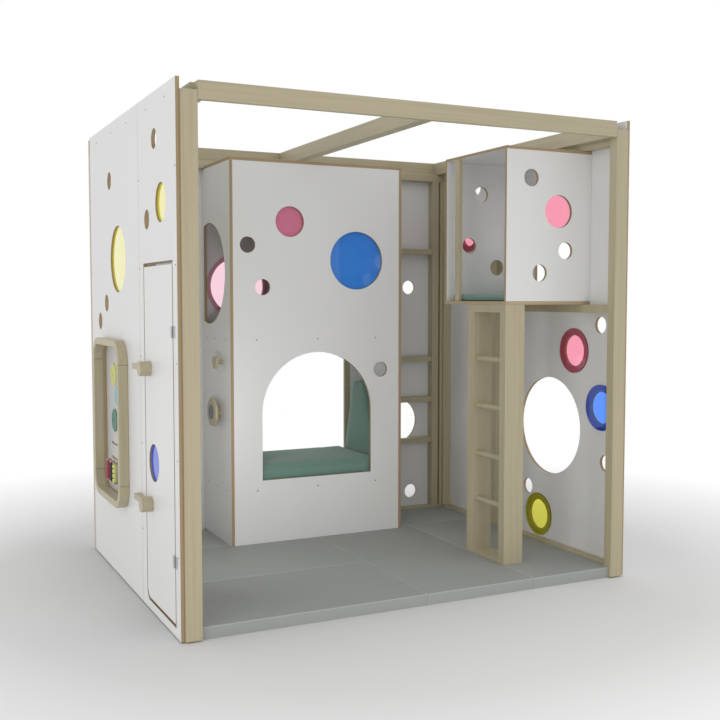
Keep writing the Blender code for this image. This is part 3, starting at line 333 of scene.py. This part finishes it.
# Painted highlight: a lighter foam for the mats' rounded edges, standing in for the light they catch
FOAM_EDGE_HIGHLIGHT = foam("mat_edge_painted_highlight", (0.49, 0.51, 0.49), (0.42, 0.44, 0.42))
FABRIC = fabric("green_weave", (0.205, 0.345, 0.290), (0.130, 0.235, 0.195))
DARK = plastic("dark_plastic", (0.035, 0.035, 0.037), 0.5)
SCREW = plastic("screw_dark", (0.10, 0.10, 0.10))
SLATE = plastic("slate_plastic", srgb(100, 110, 124))
YELLOW_PLASTIC = plastic("yellow_plastic", srgb(216, 216, 128))
CYAN_PLASTIC = plastic("cyan_plastic", srgb(120, 190, 200))
GREEN_PLASTIC = plastic("green_plastic", srgb(72, 128, 112))
LIME = plastic("lime_plastic", srgb(218, 222, 135))
RASPBERRY = plastic("raspberry_plastic", srgb(176, 50, 88))


# Making pieces

MERGE = 1e-5            # corners nearer than this are one
CUT_MERGE = 1e-6
FLAT_ANGLE = 0.4        # degrees: a flatter fold between two faces is dissolved
EDGE_ANGLE = 35         # degrees: a sharper edge is rounded


def add_piece(name, bm, look, body=BODY):
    data = bpy.data.meshes.new(name)
    bm.to_mesh(data)
    bm.free()
    data.materials.append(look)
    data.shade_smooth()
    data.set_sharp_from_angle(angle=math.radians(SHARP_ANGLE))
    made = bpy.data.objects.new(name, data)
    bpy.context.scene.collection.objects.link(made)
    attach(made, body)
    return made


def add_box(bm, low, high):
    made = bmesh.ops.create_cube(bm, size=1)["verts"]
    bmesh.ops.scale(bm, vec=[h - l for l, h in zip(low, high)], verts=made)
    bmesh.ops.translate(bm, vec=[(h + l) / 2 for l, h in zip(low, high)], verts=made)


def turn_profile(bm, profile, middle, axis, count=ROUND, outline=None):
    """Turn (radius, place along the axis) pairs about an axis into one closed skin.

    `outline` gives the share of the radius at an angle, for pieces that aren't round.
    """
    rings = []
    across = [i for i in range(3) if i != axis]
    for radius, place in profile:
        ring = []
        for i in range(count):
            angle = 2 * math.pi * i / count
            share = outline(angle) if outline else 1
            point = [0, 0, 0]
            point[axis] = place
            point[across[0]] = middle[0] + radius * share * math.cos(angle)
            point[across[1]] = middle[1] + radius * share * math.sin(angle)
            ring.append(bm.verts.new(point))
        rings.append(ring)
    faces = [bm.faces.new(rings[0]), bm.faces.new(rings[-1])]
    for low, high in zip(rings, rings[1:]):
        faces += [bm.faces.new((low[i - 1], low[i], high[i], high[i - 1])) for i in range(count)]
    bmesh.ops.recalc_face_normals(bm, faces=faces)


def turned_piece(name, profile, middle, axis, look, body=BODY, count=ROUND, outline=None):
    bm = bmesh.new()
    turn_profile(bm, profile, middle, axis, count, outline)
    return add_piece(name, bm, look, body)


def node_body(name):
    return body_of(frame["nodes"][name])[0]


def node_mesh(name):
    bm = bmesh.new()
    bm.from_mesh(frame["nodes"][name].data)
    bmesh.ops.remove_doubles(bm, verts=bm.verts[:], dist=MERGE)
    return bm


def round_node(name):
    """Middle and radius across X of a round node that faces the left, and its front and back in X."""
    low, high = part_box(name)
    return ((low.y + high.y) / 2, (low.z + high.z) / 2), (high.z - low.z) / 2, low.x, high.x


def slice_off(bm, place, normal):
    """Cut away what lies beyond a plane, and close the cut."""
    bmesh.ops.bisect_plane(bm, geom=bm.verts[:] + bm.edges[:] + bm.faces[:], dist=CUT_MERGE,
                           plane_co=place, plane_no=normal, clear_outer=True)
    bmesh.ops.holes_fill(bm, edges=[e for e in bm.edges if e.is_boundary])


def round_edges(bm, width, segments=2, edge_look=0):
    bmesh.ops.dissolve_limit(bm, angle_limit=math.radians(FLAT_ANGLE), verts=bm.verts[:], edges=bm.edges[:])
    limit = math.radians(EDGE_ANGLE)
    sharp = [e for e in bm.edges if e.is_manifold and e.calc_face_angle() > limit]
    bmesh.ops.bevel(bm, geom=sharp, offset=width, segments=segments, profile=0.5, affect="EDGES",
                    clamp_overlap=True, material=edge_look)


def add_mesh(whole, bm):
    data = bpy.data.meshes.new("part")
    bm.to_mesh(data)
    bm.free()
    whole.from_mesh(data)
    bpy.data.meshes.remove(data)


def stand_for(made, name):
    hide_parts(name)
    return made


def finish_node(name, bm, look):
    """A piece that stands for the node and rides on the node's body."""
    return stand_for(add_piece(name + "_finish", bm, look, node_body(name)), name)


def turned_node(name, profile, middle, look, count=ROUND, outline=None):
    """A piece turned about X that stands for the node and rides on the node's body."""
    made = turned_piece(name + "_finish", profile, middle, 0, look, node_body(name), count, outline)
    return stand_for(made, name)


# Rigid nodes with rounded edges

TIMBER_ROUND = 0.003
BOARD_ROUND = 0.0012
SHEET_ROUND = 0.0006
METAL_ROUND = 0.0004
# Look, width of the rounded edges, material slot, and the nodes that take them
FINISHES = (
    (WOOD_X, TIMBER_ROUND, "pale_wood", "beam_front beam_rear"),
    (WOOD_Y, TIMBER_ROUND, "pale_wood", "beam_left beam_right beam_middle latch_lower latch_upper"),
    (WOOD_Z, TIMBER_ROUND, "pale_wood",
     "post_front_left post_front_right post_rear_left post_rear_right loft_batten loft_ladder"),
    (BOARD_X, BOARD_ROUND, "white_panel", "right_wall_panel cabin_left_panel cabin_right_panel door_panel"),
    (PLATE_PAINTED_SHADE, BOARD_ROUND, "white_panel", "busy_board_plate"),
    (BOARD_Y, BOARD_ROUND, "white_panel",
     "back_wall_panel cabin_front_panel loft_front_panel loft_back_panel"),
    (BOARD_Z, BOARD_ROUND, "white_panel", "cabin_roof loft_roof"),
    (PLY_FLAT, BOARD_ROUND, "plywood", "cabin_shelf seat_board loft_floor"),
    (PINK, SHEET_ROUND, "pink_acrylic", "window_cabin_pink"),
    (PINK_CLEAR, SHEET_ROUND, "pink_acrylic", "window_back_pink"),
    (PINK_DEEP, SHEET_ROUND, "pink_acrylic", "window_right_pink window_right_rear_pink window_loft_pink"),
    (BLUE, SHEET_ROUND, "blue_acrylic", "window_cabin_blue"),
    (BLUE_CLEAR, SHEET_ROUND, "blue_acrylic", "window_door_blue"),
    (BLUE_DEEP, SHEET_ROUND, "blue_acrylic", "window_right_blue"),
    (YELLOW, SHEET_ROUND, "yellow_acrylic", "window_left_rear_yellow window_left_front_yellow"),
    (YELLOW_DEEP, SHEET_ROUND, "yellow_acrylic", "window_right_yellow"),
    (METAL, METAL_ROUND, "grey_metal",
     "wall_hinge_lower wall_hinge_upper door_hinge_lower door_hinge_upper"),
)
# Heights of the joints, and the grain below, between and above them
JOINTS = {
    "busy_board_frame": ((0.526, 1.143), (WOOD_Y, WOOD_Z, WOOD_Y)),
    "left_wall_frame": ((0.066, 2.2777), (WOOD_Y, WOOD_Z, WOOD_Y)),
    "right_wall_frame": ((0.066, 2.2777), (WOOD_Y, WOOD_Z, WOOD_Y)),
    "back_wall_frame": ((0.066, 2.2617), (WOOD_X, WOOD_Z, WOOD_X)),
    "nook_back_frame": ((0.420, 1.200), (WOOD_X, WOOD_Z, WOOD_X)),
}
JOINT_GAP = 0.0003      # from the middle of a joint to each timber
BOARD_JOINT = 0.0015    # from the middle of the left wall's joint to each board
# Glides: a post ends where its glide begins to show, and the glide reaches a millimetre into it
POSTS = ("post_front_left", "post_front_right", "post_rear_left", "post_rear_right")
GLIDE_H = 0.005
GLIDE_PROFILE = ((0.017, 0), (0.020, 0.002), (0.020, GLIDE_H + 0.001))
# Sheets whose middle stands forward: look, slot, and how far the sheet laps behind its hole's edge
RAISED_PANES = (
    ("window_left_rear_yellow", YELLOW, "yellow_acrylic", 0.028),
    ("window_left_front_yellow", YELLOW, "yellow_acrylic", 0.038),
    ("window_door_blue", BLUE_CLEAR, "blue_acrylic", 0.038),
)
PANE_RAISED = 0.009
PANE_GAP = 0.0004       # between the raised middle and its hole
PANE_CHAMFER = 0.0005
PANE_ROOT = 0.001       # how far the raised middle reaches into its sheet
PANE_SEGMENTS = 64


def rounded_node(name, look, width):
    """The node's own shape in its own place, with its sharp edges rounded."""
    bm = node_mesh(name)
    if name in POSTS:
        slice_off(bm, (0, 0, GLIDE_H), (0, 0, -1))
    round_edges(bm, width)
    finish_node(name, bm, look)


def jointed_node(name, cuts, looks):
    """A node of several timbers, parted at the heights of its joints, each with its own grain."""
    whole = bmesh.new()
    ends = (None, *cuts, None)
    for index, (low, high) in enumerate(zip(ends, ends[1:])):
        bm = node_mesh(name)
        if low is not None:
            slice_off(bm, (0, 0, low + JOINT_GAP), (0, 0, -1))
        if high is not None:
            slice_off(bm, (0, 0, high - JOINT_GAP), (0, 0, 1))
        round_edges(bm, TIMBER_ROUND)
        for face in bm.faces:
            face.material_index = index
        add_mesh(whole, bm)
    made = finish_node(name, whole, looks[0])
    for look in looks[1:]:
        made.data.materials.append(look)


def dress_nodes():
    for look, width, slot, names in FINISHES:
        for name in names.split():
            rounded_node(name, look, width)
    for name, (cuts, looks) in JOINTS.items():
        jointed_node(name, cuts, looks)


def build_left_panels():
    """The two boards of the left wall, with a narrow joint between them."""
    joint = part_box("left_rear_panel")[0].y
    for name, side in (("left_front_panel", 1), ("left_rear_panel", -1)):
        bm = node_mesh(name)
        slice_off(bm, (0, joint - side * BOARD_JOINT, 0), (0, side, 0))
        round_edges(bm, BOARD_ROUND)
        finish_node(name, bm, BOARD_X)


def build_raised_panes():
    """The middle of the left wall's and the door's sheets stands forward in its hole."""
    for name, look, slot, lap in RAISED_PANES:
        middle, outer, sheet = round_node(name)[:3]
        radius = outer - lap - PANE_GAP
        front = sheet - PANE_RAISED
        profile = ((radius - PANE_CHAMFER, front), (radius, front + PANE_CHAMFER),
                   (radius, sheet + PANE_ROOT))
        made = turned_piece(name + "_raised", profile, middle, 0, look, node_body(name), PANE_SEGMENTS)


def build_glides():
    """A dark glide under each post."""
    for post in POSTS:
        low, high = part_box(post)
        middle = ((low.x + high.x) / 2, (low.y + high.y) / 2)
        turned_piece("glide_" + post, GLIDE_PROFILE, middle, 2, DARK)


# Mats: the CAD sheet cut along its seams into tiles with rounded edges, which carry lighter foam as a
# painted highlight

SEAM_X = (1.219 + CORNER.x, 1.848 + CORNER.x)
SEAM_FRONT_Y = 0.675 + CORNER.y
SEAM_REAR_Y = 1.344 + CORNER.y
SEAM_GAP = 0.0008       # from the middle of a seam to each tile
MAT_ROUND = 0.003
MAT_SEGMENTS = 3
MAT_PAST = 0.01         # outer cuts lie this far outside the sheet, where they cut nothing


def build_mats():
    low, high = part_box("floor_mats")
    front_y, rear_y = low.y - MAT_PAST, high.y + MAT_PAST
    xs = (low.x - MAT_PAST, *SEAM_X, high.x + MAT_PAST)
    tiles = [(xs[i], xs[i + 1], SEAM_REAR_Y, rear_y) for i in range(3)]
    tiles += [(xs[i], xs[i + 1], front_y, SEAM_REAR_Y) for i in (1, 2)]
    tiles += [(xs[0], xs[1], front_y, SEAM_FRONT_Y), (xs[0], xs[1], SEAM_FRONT_Y, SEAM_REAR_Y)]
    whole = bmesh.new()
    for left, right, front, rear in tiles:
        bm = node_mesh("floor_mats")
        slice_off(bm, (left + SEAM_GAP, 0, 0), (-1, 0, 0))
        slice_off(bm, (right - SEAM_GAP, 0, 0), (1, 0, 0))
        slice_off(bm, (0, front + SEAM_GAP, 0), (0, -1, 0))
        slice_off(bm, (0, rear - SEAM_GAP, 0), (0, 1, 0))
        # Slot 1 on the rounded edges is the lighter foam, a painted highlight
        round_edges(bm, MAT_ROUND, MAT_SEGMENTS, 1)
        add_mesh(whole, bm)
    made = finish_node("floor_mats", whole, FOAM)
    made.data.materials.append(FOAM_EDGE_HIGHLIGHT)


# Screws: (radius, height above the board) of a head with its recess, and where the rows are

SCREW_R = 0.0042
SCREW_PROFILE = (
    (0.0016, 0.0003), (0.0020, 0.0008), (0.0032, 0.0008), (SCREW_R, 0.0001), (SCREW_R, -0.0015),
)
SCREW_SEGMENTS = 12
SCREW_HEIGHTS = (0.369, 0.786, 1.203, 1.620, 2.035)
SCREW_TOP = 2.345
SHELF_HEIGHTS = (1.242, 0.367)


def add_screws(name, axis, side, places, body=BODY):
    """Screw heads on a board's face at `side`; axes count from 1, and the sign says which way they face."""
    bm = bmesh.new()
    direction = 1 if axis > 0 else -1
    profile = [(radius, side + direction * out) for radius, out in SCREW_PROFILE]
    for place in places:
        turn_profile(bm, profile, place, abs(axis) - 1, SCREW_SEGMENTS)
    add_piece(name, bm, SCREW, body)


def rows(start, steps, heights):
    return [(start + step, height) for step in steps for height in heights]


def build_screws():
    edges = rows(CORNER.y, (0.021, 0.643, 1.782), SCREW_HEIGHTS)
    top = rows(CORNER.y, (0.171, 0.500, 0.892, 1.224, 1.600), (SCREW_TOP,))
    add_screws("screws_left_wall", -1, CORNER.x, edges + top)
    edges = rows(CORNER.y, (0.021, 1.147, 1.782), SCREW_HEIGHTS)
    add_screws("screws_right_wall", 1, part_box("right_wall_panel")[1].x, edges + top)
    front = rows(CORNER.x, (0.829, 1.211, 1.593), SHELF_HEIGHTS)
    add_screws("screws_cabin_front", -2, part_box("cabin_front_panel")[0].y, front)
    sides = rows(CORNER.y, (1.388, 1.570, 1.740), SHELF_HEIGHTS)
    add_screws("screws_cabin_left", -1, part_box("cabin_left_panel")[0].x, sides)
    add_screws("screws_cabin_right", 1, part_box("cabin_right_panel")[1].x, sides)
    back = rows(CORNER.x, (0.055, 0.680, 1.760, 2.300), SCREW_HEIGHTS)
    add_screws("screws_back_wall", 2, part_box("back_wall_panel")[1].y, back)


# Beads, each stack on a spindle between two holders

BEAD_R = 0.0125
BEAD_H = 0.0225
BEAD_STEP = 0.0255
BEAD_NECK = 0.006
BEAD_COUNT = 4
BEAD_RINGS = 8
BEAD_BULGE = 0.6        # the lower, the squarer the bead
BEAD_SEGMENTS = 24
SPINDLE_R = 0.004
SPINDLE_END = 0.006
HOLDER_HALF = 0.008     # half its width, and how far it stands in front of the spindle
HOLDER_BACK = 0.020
HOLDER_T = 0.009
HOLDER_GAP = 0.001
HOLDER_ROUND = 0.0015
# Name, look, and distance to the front of the stack that turns
STILL_BEADS = (("grey", DARK, 0.080), ("yellow", LIME, 0.150))


def bead_profile(low):
    """Rounded beads on a thin spindle, from the height `low`."""
    profile = [(SPINDLE_R, low - SPINDLE_END)]
    for i in range(BEAD_COUNT):
        start = low + i * BEAD_STEP
        for k in range(BEAD_RINGS + 1):
            angle = math.pi * k / BEAD_RINGS
            out = BEAD_NECK + (BEAD_R - BEAD_NECK) * math.sin(angle) ** BEAD_BULGE
            profile.append((out, start + BEAD_H / 2 * (1 - math.cos(angle))))
    profile.append((SPINDLE_R, start + BEAD_H + SPINDLE_END))
    return profile


def build_beads():
    low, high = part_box("busy_board_beads")
    x, y = (low.x + high.x) / 2, (low.y + high.y) / 2
    bottom = (low.z + high.z - (BEAD_COUNT - 1) * BEAD_STEP - BEAD_H) / 2
    top = bottom + (BEAD_COUNT - 1) * BEAD_STEP + BEAD_H
    profile = bead_profile(bottom)
    made = turned_piece("beads_raspberry", profile, (x, y), 2, RASPBERRY, node_body("busy_board_beads"),
                        BEAD_SEGMENTS)
    stand_for(made, "busy_board_beads")
    for name, look, ahead in STILL_BEADS:
        place = y - ahead
        made = turned_piece("beads_" + name, profile, (x, place), 2, look, BODY, BEAD_SEGMENTS)
        holder = bmesh.new()
        for height in (bottom - HOLDER_GAP - HOLDER_T, top + HOLDER_GAP):
            add_box(holder, (x - HOLDER_HALF, place - HOLDER_HALF, height),
                    (x + HOLDER_BACK, place + HOLDER_HALF, height + HOLDER_T))
        round_edges(holder, HOLDER_ROUND)
        add_piece("bead_holder_" + name, holder, BOARD_X)


# Turning discs and the slider

DISCS = (
    ("spinner_yellow", YELLOW_PLASTIC, "yellow_plastic"),
    ("spinner_cyan", CYAN_PLASTIC, "cyan_plastic"),
    ("spinner_green", GREEN_PLASTIC, "green_plastic"),
)
DISC_T = 0.006
DISC_SUNK = 0.0012      # depth of the ring, and of the recess round the screw
DISC_RECESS = (0.010, 0.012)
DISC_RING = (0.62, 0.66, 0.70)      # shares of the radius: inner edge, bottom and outer edge
DISC_RIM = 0.003
DISC_RIM_MID = 0.0009
DISC_STEM_R = 0.0036
DISC_STEM = 0.014
DISC_SEGMENTS = 48
# Share of the radius and distance behind the front, down to the neck behind the slider's knob
SLIDER_HEAD = ((0.55, 0), (0.85, 0.001), (1, 0.004), (0.86, 0.009), (0.92, 0.0157))
SLIDER_STEM_R = 0.0062
SLIDER_WASHER_R = 0.010
SLIDER_WASHER_T = 0.003


def build_discs():
    """The turning discs with a rounded rim, a shallow ring and a screw in the middle."""
    for name, look, slot in DISCS:
        middle, radius, face = round_node(name)[:3]
        sunk, back = face + DISC_SUNK, face + DISC_T
        profile = ((DISC_RECESS[0], sunk), (DISC_RECESS[1], face), (radius * DISC_RING[0], face),
                   (radius * DISC_RING[1], sunk), (radius * DISC_RING[2], face), (radius - DISC_RIM, face),
                   (radius - DISC_RIM_MID, face + DISC_RIM_MID), (radius, face + DISC_RIM), (radius, back),
                   (DISC_STEM_R, back), (DISC_STEM_R, back + DISC_STEM))
        turned_node(name, profile, middle, look, DISC_SEGMENTS)
        add_screws(name + "_screw", -1, sunk, [middle], node_body(name))


def build_slider():
    """The slider's knob, its stem in the slot and the washer behind the plate."""
    middle, radius, front, back = round_node("busy_board_slider")
    head = [(radius * share, front + depth) for share, depth in SLIDER_HEAD]
    washer = back - SLIDER_WASHER_T
    profile = (*head, (SLIDER_STEM_R, head[-1][1]), (SLIDER_STEM_R, washer), (SLIDER_WASHER_R, washer),
               (SLIDER_WASHER_R, back))
    turned_node("busy_board_slider", profile, middle, LIME)


# The cabin's turning knob and the peg above it

PLATE_RIM = ((0.006, 0), (0.0015, 0.0015), (0, 0.005))     # (inset, depth) over a rim's rounding
KNOB_FRONT = 0.003      # the wooden plate's front and back, behind the cap's front
KNOB_BACK = 0.021
KNOB_HUB_R = 0.034
KNOB_HUB = 0.033
KNOB_AXLE_R = 0.010
KNOB_SEGMENTS = 96
CAP_PROFILE = ((0.030, 0.0004), (0.040, 0), (0.0425, 0.001), (0.043, 0.004))
CAP_SEGMENTS = 48
PEG_T = 0.022
PEG_STEM_R = 0.014
PEG_SEGMENTS = 72
OCTAGON_SIDE = math.pi / 4
OCTAGON_CORNER = 0.985  # share of the radius at the blunt corners
PICK_SWING = 0.09


def octagon(angle):
    """Share of the radius on the sides of an octagon with blunt corners."""
    within = (angle + OCTAGON_SIDE / 2) % OCTAGON_SIDE - OCTAGON_SIDE / 2
    return min(math.cos(OCTAGON_SIDE / 2) / math.cos(within), OCTAGON_CORNER)


def pick(angle):
    """Share of the radius on a rounded triangle that points down."""
    return 1 - PICK_SWING + PICK_SWING * math.cos(3 * (angle + math.pi / 2))


def plate_rings(radius, front, back):
    """A flat plate with a softly rounded rim, from its front to its back."""
    rings = [(radius - inset, front + depth) for inset, depth in PLATE_RIM]
    return rings + [(radius - inset, back - depth) for inset, depth in reversed(PLATE_RIM)]


def build_knobs():
    """The knob with its grey-blue middle, and the peg."""
    middle, radius, face, end = round_node("cabin_knob")
    front, back = face + KNOB_FRONT, face + KNOB_BACK
    hub_end = back + KNOB_HUB
    profile = (*plate_rings(radius, front, back), (KNOB_HUB_R, back), (KNOB_HUB_R, hub_end),
               (KNOB_AXLE_R, hub_end), (KNOB_AXLE_R, end))
    turned_node("cabin_knob", profile, middle, WOOD_Z, KNOB_SEGMENTS, octagon)
    cap = [(across, face + depth) for across, depth in CAP_PROFILE]
    made = turned_piece("knob_middle", cap, middle, 0, SLATE, node_body("cabin_knob"), CAP_SEGMENTS)
    middle, radius, face, end = round_node("cabin_peg")
    back = face + PEG_T
    profile = (*plate_rings(radius, face, back), (PEG_STEM_R, back), (PEG_STEM_R, end))
    turned_node("cabin_peg", profile, middle, WOOD_Z, PEG_SEGMENTS, pick)


# Cushions

CUSHION_VOXEL = 0.006
CUSHION_SHRINK = 0.004  # how far the cover starts inside the node's skin
CUSHION_CAP = 0.0035    # how far a point may move when the cover swells
CUSHION_FRAMES = 20
CUSHION_CLEAR = 0.0005
PIPING_R = 0.0016
PIPING_PROUD = 0.2      # share of its radius that the cord's middle stands off the cover
PIPING_POINTS = 240


def swell(piece):
    """Blow the piece up like a stuffed cover, and let no point move further than the cap."""
    start = [v.co.copy() for v in piece.data.vertices]
    cloth = piece.modifiers.new("swell", "CLOTH")
    settings = cloth.settings
    settings.use_pressure = True
    settings.uniform_pressure_force = 4.0
    settings.quality = 4
    settings.mass = 0.3
    settings.tension_stiffness = 25
    settings.compression_stiffness = 25
    settings.bending_stiffness = 0.6
    settings.effector_weights.gravity = 0
    cloth.collision_settings.use_collision = False
    cloth.collision_settings.use_self_collision = False
    scene = bpy.context.scene
    for number in range(1, CUSHION_FRAMES + 1):
        scene.frame_set(number)
    swollen = piece.evaluated_get(bpy.context.evaluated_depsgraph_get())
    moved = [v.co.copy() for v in swollen.data.vertices]
    piece.modifiers.remove(cloth)
    scene.frame_set(1)
    for vertex, old, new in zip(piece.data.vertices, start, moved):
        step = new - old
        if step.length > CUSHION_CAP:
            step *= CUSHION_CAP / step.length
        vertex.co = old + step


def fit_to_box(data, name):
    """Stretch the swollen cover until it fills the node's box, less a hair."""
    low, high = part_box(name)
    for i in range(3):
        values = [v.co[i] for v in data.vertices]
        start, size = min(values), max(values) - min(values)
        room = high[i] - low[i] - 2 * CUSHION_CLEAR
        for vertex in data.vertices:
            vertex.co[i] = low[i] + CUSHION_CLEAR + (vertex.co[i] - start) * room / size


def cloth_mesh(piece):
    """The piece as it is with its modifiers, as a new smooth mesh of the cushions' cloth."""
    bpy.context.view_layer.update()
    data = bpy.data.meshes.new_from_object(piece.evaluated_get(bpy.context.evaluated_depsgraph_get()))
    data.materials.clear()
    data.materials.append(FABRIC)
    data.shade_smooth()
    return data


def build_piping(name, cover, share):
    """A thin cord of the same cloth round the cover, at a share of its height."""
    low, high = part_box(name)
    middle = (low + high) / 2
    middle.z = low.z + (high.z - low.z) * share
    corners = [v.co for v in cover.data.vertices]
    tree = BVHTree.FromPolygons(corners, [p.vertices for p in cover.data.polygons])
    path = bpy.data.curves.new(name + "_piping", "CURVE")
    path.dimensions = "3D"
    path.bevel_depth = PIPING_R
    path.bevel_resolution = 2
    spline = path.splines.new("POLY")
    spline.points.add(PIPING_POINTS - 1)
    for i, point in enumerate(spline.points):
        angle = 2 * math.pi * i / PIPING_POINTS
        reach = Vector((math.cos(angle), math.sin(angle), 0))
        hit = tree.ray_cast(middle + reach, -reach)[0]
        point.co = (*(hit + reach * PIPING_R * PIPING_PROUD), 1)
    spline.use_cyclic_u = True
    curve = bpy.data.objects.new("piping_path", path)
    bpy.context.scene.collection.objects.link(curve)
    data = cloth_mesh(curve)
    bpy.data.objects.remove(curve, do_unlink=True)
    made = bpy.data.objects.new(name + "_piping", data)
    bpy.context.scene.collection.objects.link(made)
    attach(made, BODY)


def build_cushion(name, seams):
    bm = node_mesh(name)
    bmesh.ops.recalc_face_normals(bm, faces=bm.faces[:])
    bm.normal_update()
    inward = {v: v.normal * -CUSHION_SHRINK for v in bm.verts}
    for vertex, step in inward.items():
        vertex.co += step
    made = finish_node(name, bm, FABRIC)
    remesh = made.modifiers.new("remesh", "REMESH")
    remesh.mode = "VOXEL"
    remesh.voxel_size = CUSHION_VOXEL
    data = cloth_mesh(made)
    made.modifiers.clear()
    made.data = data
    swell(made)
    fit_to_box(data, name)
    for share in seams:
        build_piping(name, made, share)


# Floor, light and camera

AMBIENT = 0.77
# name, place, what it points at, width in metres, watts
LAMPS = (
    ("key", (-5.5, -3.5, 0.7), (-1.2, 0, 0.7), 2.4, 43.0),
    ("low", (0.3, -3.8, 0.45), (0.2, 0, 0.5), 0.8, 12.0),
    ("bay", (-1.00, -0.35, 0.80), (-0.55, 0.40, 0.70), 0.25, 2.6),
)
FLOOR_R = 40
FLOOR_LIGHT = (0.88, 0.88, 0.88)
FLOOR_DARK = (0.85, 0.85, 0.85)
WHITE_FROM = 1.9        # metres from the middle of the floor
WHITE_BY = 3.8
# Soft contact shadow on the floor: a box round the footprint, and the length over which it fades
SHADOW_MIDDLE = (-0.55, 0.12)
SHADOW_HALF = (0.66, 0.72)
SHADOW_LENGTH = 0.5
SHADOW_DEPTH = 0.28


def straight_ray(nodes, links):
    """1 for what the camera sees directly, in a reflection or through the tinted sheets."""
    path = nodes.new("ShaderNodeLightPath")
    seen = math_node(nodes, links, "MAXIMUM", path.outputs["Is Camera Ray"], path.outputs["Is Glossy Ray"])
    return math_node(nodes, links, "MAXIMUM", seen, path.outputs["Is Transmission Ray"])


def contact_shadow(nodes, links, coords):
    """1 inside the shadow's box, fading to 0 away from it, and 0 for all but the camera's own rays."""
    place = separate(nodes, links, coords)
    squares = []
    for i in range(2):
        beside = math_node(nodes, links, "SUBTRACT", place[i], SHADOW_MIDDLE[i])
        beside = math_node(nodes, links, "ABSOLUTE", beside)
        beside = math_node(nodes, links, "SUBTRACT", beside, SHADOW_HALF[i])
        beside = math_node(nodes, links, "MAXIMUM", beside, 0.0)
        squares.append(math_node(nodes, links, "POWER", beside, 2.0))
    away = math_node(nodes, links, "SQRT", math_node(nodes, links, "ADD", *squares))
    fade = math_node(nodes, links, "EXPONENT", math_node(nodes, links, "DIVIDE", away, -SHADOW_LENGTH))
    seen = nodes.new("ShaderNodeLightPath").outputs["Is Camera Ray"]
    return math_node(nodes, links, "MULTIPLY", fade, seen)


def stage_material():
    """Pale floor that turns to plain white for the camera away from the object."""
    made, nodes, links, shader, coords = new_material("studio_floor")
    length = nodes.new("ShaderNodeVectorMath")
    length.operation = "LENGTH"
    links.new(coords, length.inputs[0])
    far = ramp(nodes, links, length.outputs["Value"], WHITE_FROM, WHITE_BY)
    grain = noise(nodes, links, coords, 30.0)
    tone = mix_some(nodes, links, grain, 0.03, FLOOR_LIGHT, FLOOR_DARK)
    shadow = contact_shadow(nodes, links, coords)
    tone = mix_some(nodes, links, shadow, SHADOW_DEPTH, tone, (0, 0, 0))
    links.new(tone, shader.inputs["Base Color"])
    shader.inputs["Roughness"].default_value = 0.9
    shader.inputs["Specular IOR Level"].default_value = 0.1
    seen = straight_ray(nodes, links)
    white = nodes.new("ShaderNodeEmission")
    mix = nodes.new("ShaderNodeMixShader")
    links.new(math_node(nodes, links, "MULTIPLY", far, seen), mix.inputs[0])
    links.new(shader.outputs[0], mix.inputs[1])
    links.new(white.outputs[0], mix.inputs[2])
    links.new(mix.outputs[0], nodes["Material Output"].inputs["Surface"])
    return made


def build_floor():
    bm = bmesh.new()
    bmesh.ops.create_circle(bm, cap_ends=True, radius=FLOOR_R, segments=64)
    data = bpy.data.meshes.new("studio_floor")
    bm.to_mesh(data)
    bm.free()
    data.materials.append(stage_material())
    floor = bpy.data.objects.new("studio_floor", data)
    bpy.context.scene.collection.objects.link(floor)


def build_world():
    """Even light from all round, with plain white where the camera looks past the object."""
    world = bpy.data.worlds.new("studio")
    world.use_nodes = True
    bpy.context.scene.world = world
    nodes, links = world.node_tree.nodes, world.node_tree.links
    back = nodes["Background"]
    seen = straight_ray(nodes, links)
    more = math_node(nodes, links, "MULTIPLY", seen, 1 - AMBIENT)
    links.new(math_node(nodes, links, "ADD", more, AMBIENT), back.inputs["Strength"])
    back.inputs["Color"].default_value = (1, 1, 1, 1)


def build_lamps():
    for name, place, target, size, power in LAMPS:
        data = bpy.data.lights.new(name, "AREA")
        data.shape = "DISK"
        data.energy = power
        data.size = size
        lamp = bpy.data.objects.new(name, data)
        lamp.location = place
        lamp.rotation_euler = (Vector(target) - Vector(place)).to_track_quat("-Z", "Y").to_euler()
        lamp.visible_camera = False
        lamp.visible_glossy = False
        lamp.visible_transmission = False
        bpy.context.scene.collection.objects.link(lamp)


def build_camera():
    data = bpy.data.cameras.new("camera")
    data.lens = CAMERA_LENS
    camera = bpy.data.objects.new("camera", data)
    camera.location = CAMERA_AT
    camera.rotation_euler = (CAMERA_PITCH, 0, CAMERA_YAW)
    bpy.context.scene.collection.objects.link(camera)
    bpy.context.scene.camera = camera
    bpy.context.scene.view_settings.view_transform = "Standard"


dress_nodes()
build_left_panels()
build_raised_panes()
build_glides()
build_mats()
build_screws()
build_beads()
build_discs()
build_slider()
build_knobs()
build_cushion("seat_cushion", (0.14, 0.86))
build_cushion("backrest_cushion", ())
build_cushion("loft_cushion", (0.5,))
build_floor()
build_world()
build_lamps()
build_camera()
